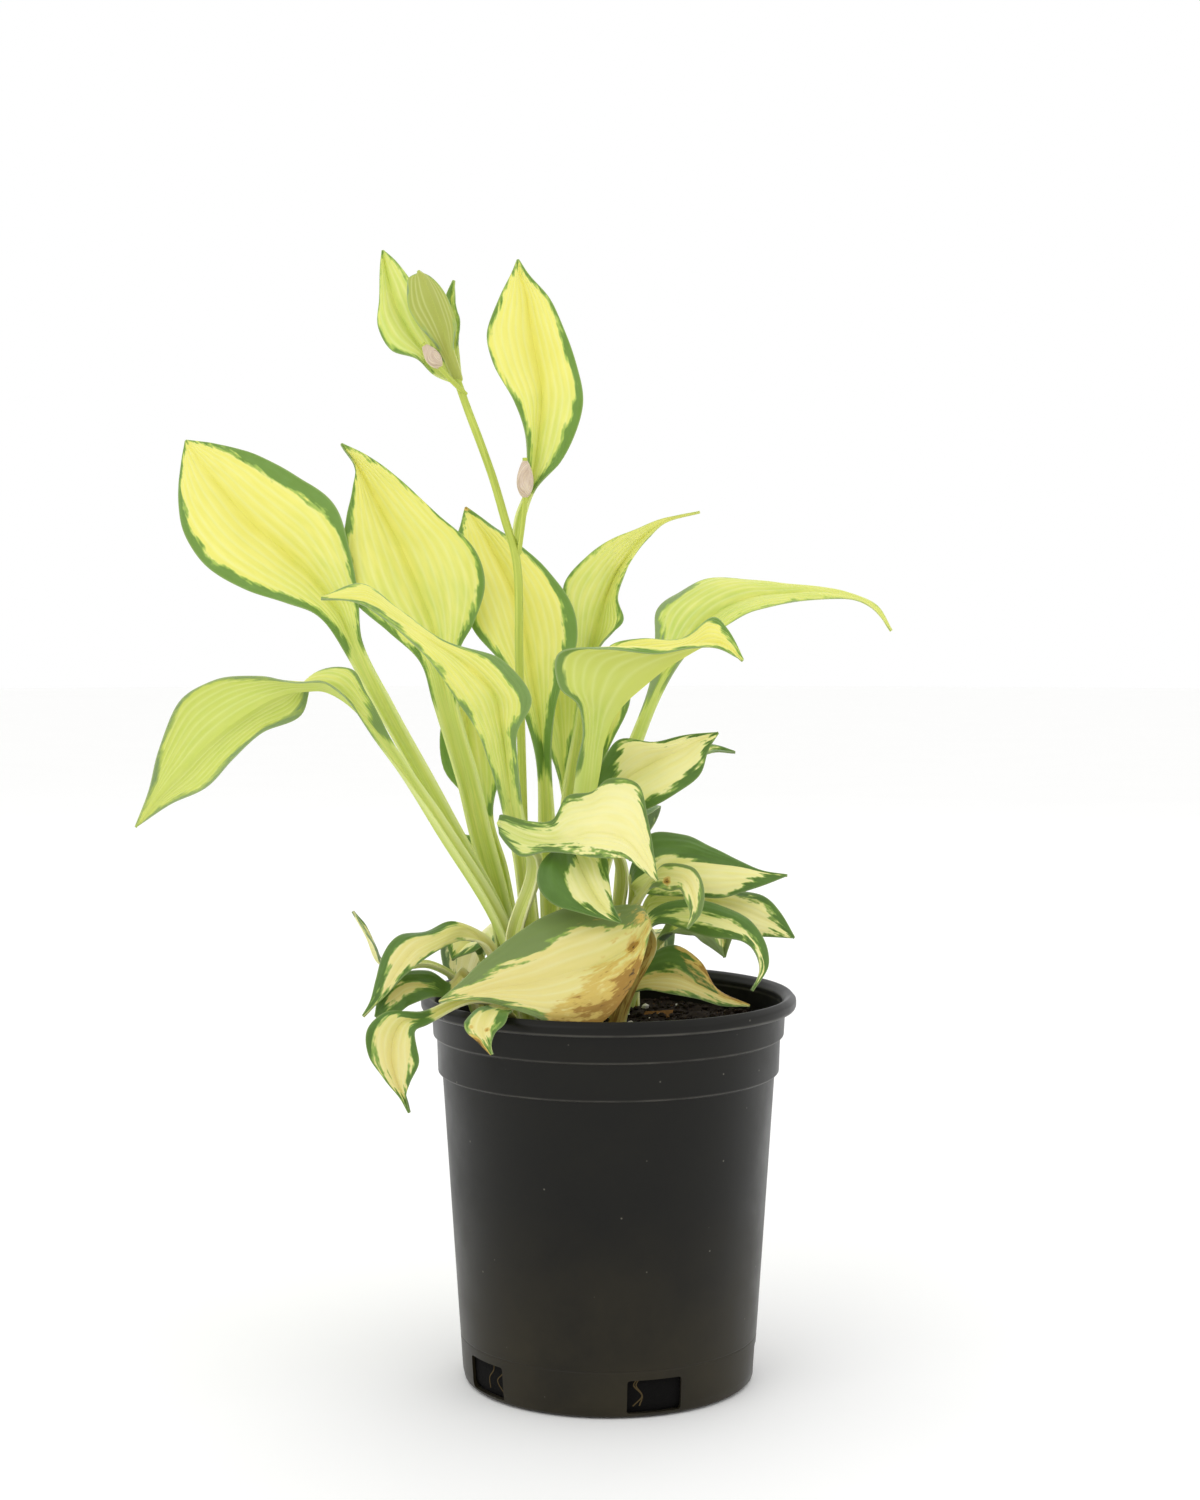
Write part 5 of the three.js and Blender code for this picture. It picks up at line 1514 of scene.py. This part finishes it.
def striped_skin(name, dark, light, stripes, roughness):
    """A fibrous plant skin with stripes along it, coloured from dark to light."""
    material, tree = new_material(name)
    stripe = along_veins(tree, *stripes)
    spread = add_node(tree, "MapRange", {
        "Value": stripe, "From Min": 0.3, "From Max": 0.7}).outputs["Result"]
    relief = add_node(tree, "Bump", {
        "Strength": 0.3, "Distance": 0.15 * MM, "Height": stripe}).outputs["Normal"]
    finish_material(tree, dark, [(spread, light)], {
        "Roughness": roughness, "IOR": 1.42, "Specular IOR Level": 0.4,
        "Subsurface Weight": 0.2, "Subsurface Radius": (1.0, 1.0, 0.5),
        "Subsurface Scale": GLOW_DEPTH, "Normal": relief,
    })
    return material


stem_skin = striped_skin("waxy_stem", "#A0B244", "#CBD464", STEM_STRIPES, 0.45)
bud_skin = striped_skin("papery_bud", "#B8A088", "#E2D2BC", BUD_STRIPES, 0.6)
print("stem and bud skins", stem_skin.name, bud_skin.name)

# %% Stem and buds
STEM = [(-30, -2, 147), (-35, -3, 200), (-37, -5, 235), (-38, -8, 275), (-39, -10, 319),
        (-40, -12, 362), (-45, -12, 380), (-50, -11, 397), (-56, -10, 414), (-61, -9, 427),
        (-66, -7, 441)]
STEM_FOOT_RADIUS, STEM_TIP_RADIUS = 2, 1.7
STEM_UNEVENNESS = 0.05
BUDS = [
    dict(line=[(-39, -12, 365), (-36, -20, 388), (-36, -22, 406)], length=17.5, radius=3.7),
    dict(line=[(-62, -8, 434), (-71, -15, 443), (-80, -18, 455)], length=13, radius=3.4),
]
BUD_STALK_RADIUS = 1.1
TEPALS = 3
TEPAL_TWIST = 1.5
FURROW = 0.12


def bud_radius(share, turn, bud):
    """The radius of a bud at a share of its length and a turn round it."""
    size = math.sin(math.pi * min(max(share, 0.01), 0.99) ** 0.8) ** 0.7
    fold = abs(math.sin(TEPALS * turn / 2 + share * TEPAL_TWIST)) ** 0.5
    return bud["radius"] * size * (1 - FURROW + FURROW * fold)


rods = [rod_bmesh(Line(STEM), lambda share, turn: lerp(STEM_FOOT_RADIUS, STEM_TIP_RADIUS, share),
                  sides=20, rows=160, unevenness=STEM_UNEVENNESS)]
spindles = []
for number, bud in enumerate(BUDS):
    rods.append(rod_bmesh(Line(bud["line"]), lambda share, turn: BUD_STALK_RADIUS,
                          sides=12, rows=24))
    before, tip = (Vector(knot) for knot in bud["line"][-2:])
    foot = tip - (tip - before).normalized() * bud["length"]
    axis = Line([foot, foot.lerp(tip, 0.5), tip])
    spindles.append(rod_bmesh(axis, lambda share, turn: bud_radius(share, turn, bud),
                              sides=36, rows=40, seed=number + 1))
make_piece("flower_stem", joined(rods), [stem_skin], ["flower_scape"])
make_piece("flower_buds", joined(spindles), [bud_skin], ["flower_scape"])

# %% [markdown]
# ### Bracts
# Bracts are small leaves with hardly any stalk, so they are grown as the leaves are: a large
# one half-way up, which stands over a bud, and three round the tip.

# %% Bracts
BRACT_ROWS = (6, 10)
BRACT_STALK = 2.6
FIRST_BRACT_NUMBER = 50
BRACTS = [
    dict(
        rib=[(-40, -12, 369), (-38, -13, 381), (-34, -13, 393), (-32, -12, 404), (-30, -10, 419),
          (-29, -6, 433), (-31, -1, 447), (-34, 4, 463), (-36, 8, 478), (-39, 11, 488),
          (-40, 13, 495)],
        left=[(-36, -15, 392), (-35, -16, 406), (-36, -16, 417), (-41, -14, 431), (-50, -10, 447),
          (-53, -4, 461), (-48, 3, 477), (-43, 9, 488)],
        right=[(-32, -15, 393), (-21, -16, 404), (-14, -17, 418), (-11, -15, 431), (-14, -10, 447),
          (-19, -4, 462), (-26, 3, 477), (-35, 9, 488)],
        bearing=-20,
        veins=6, green=((1, 2.2, 2.2, 1.5, 1, 0.6, 0.6), (2, 4.5, 4.5, 4, 4, 2, 1.5, 2.5, 1)),
    ),
    dict(
        rib=[(-65, -6, 440), (-73, -8, 445), (-81, -7, 454), (-88, -5, 464), (-93, -2, 474),
          (-96, 2, 484), (-98, 5, 492), (-99, 6, 498)],
        left=[(-76, -11, 443), (-83, -11, 449), (-94, -10, 453), (-100, -8, 463), (-100, -3, 476),
          (-100, 2, 489)],
        right=[(-70, -9, 448), (-74, -9, 455), (-77, -8, 465), (-80, -6, 475), (-86, -2, 484),
          (-93, 2, 493)],
        bearing=30,
        veins=4, green=((1, 1, 0.6), (1.5, 1.5, 1)), lime=0.7,
    ),
    dict(
        rib=[(-65, -7, 440), (-69, -12, 452), (-72, -16, 463), (-75, -18, 471), (-78, -17, 479),
          (-80, -15, 484), (-82, -13, 486)],
        left=[(-67, -11, 454), (-66, -11, 464), (-68, -11, 471), (-72, -11, 479), (-77, -12, 484)],
        right=[(-73, -11, 453), (-81, -12, 462), (-86, -12, 470), (-87, -12, 479), (-86, -12, 484)],
        bearing=200,
        veins=4, green=((1, 1, 1), (1, 1, 1)), lime=0.9, glaucous=0.6, aged=0.8,
    ),
    dict(
        rib=[(-65, -5, 440), (-67, 0, 454), (-68, 3, 466), (-69, 5, 476), (-68, 6, 485)],
        left=[(-69, 0, 454), (-71, 2, 467), (-72, 4, 476)],
        right=[(-66, -1, 456), (-65, 1, 466), (-67, 3, 475)],
        bearing=-40,
        veins=3, green=((1, 3, 1), (1, 1, 1)), lime=0.8,
    ),
]

for number, table in enumerate(BRACTS):
    grow(f"stem_bract_{number + 1}", "flower_scape", FIRST_BRACT_NUMBER + number,
         {"stalk": BRACT_STALK, **table}, BRACT_ROWS, lime_skins)
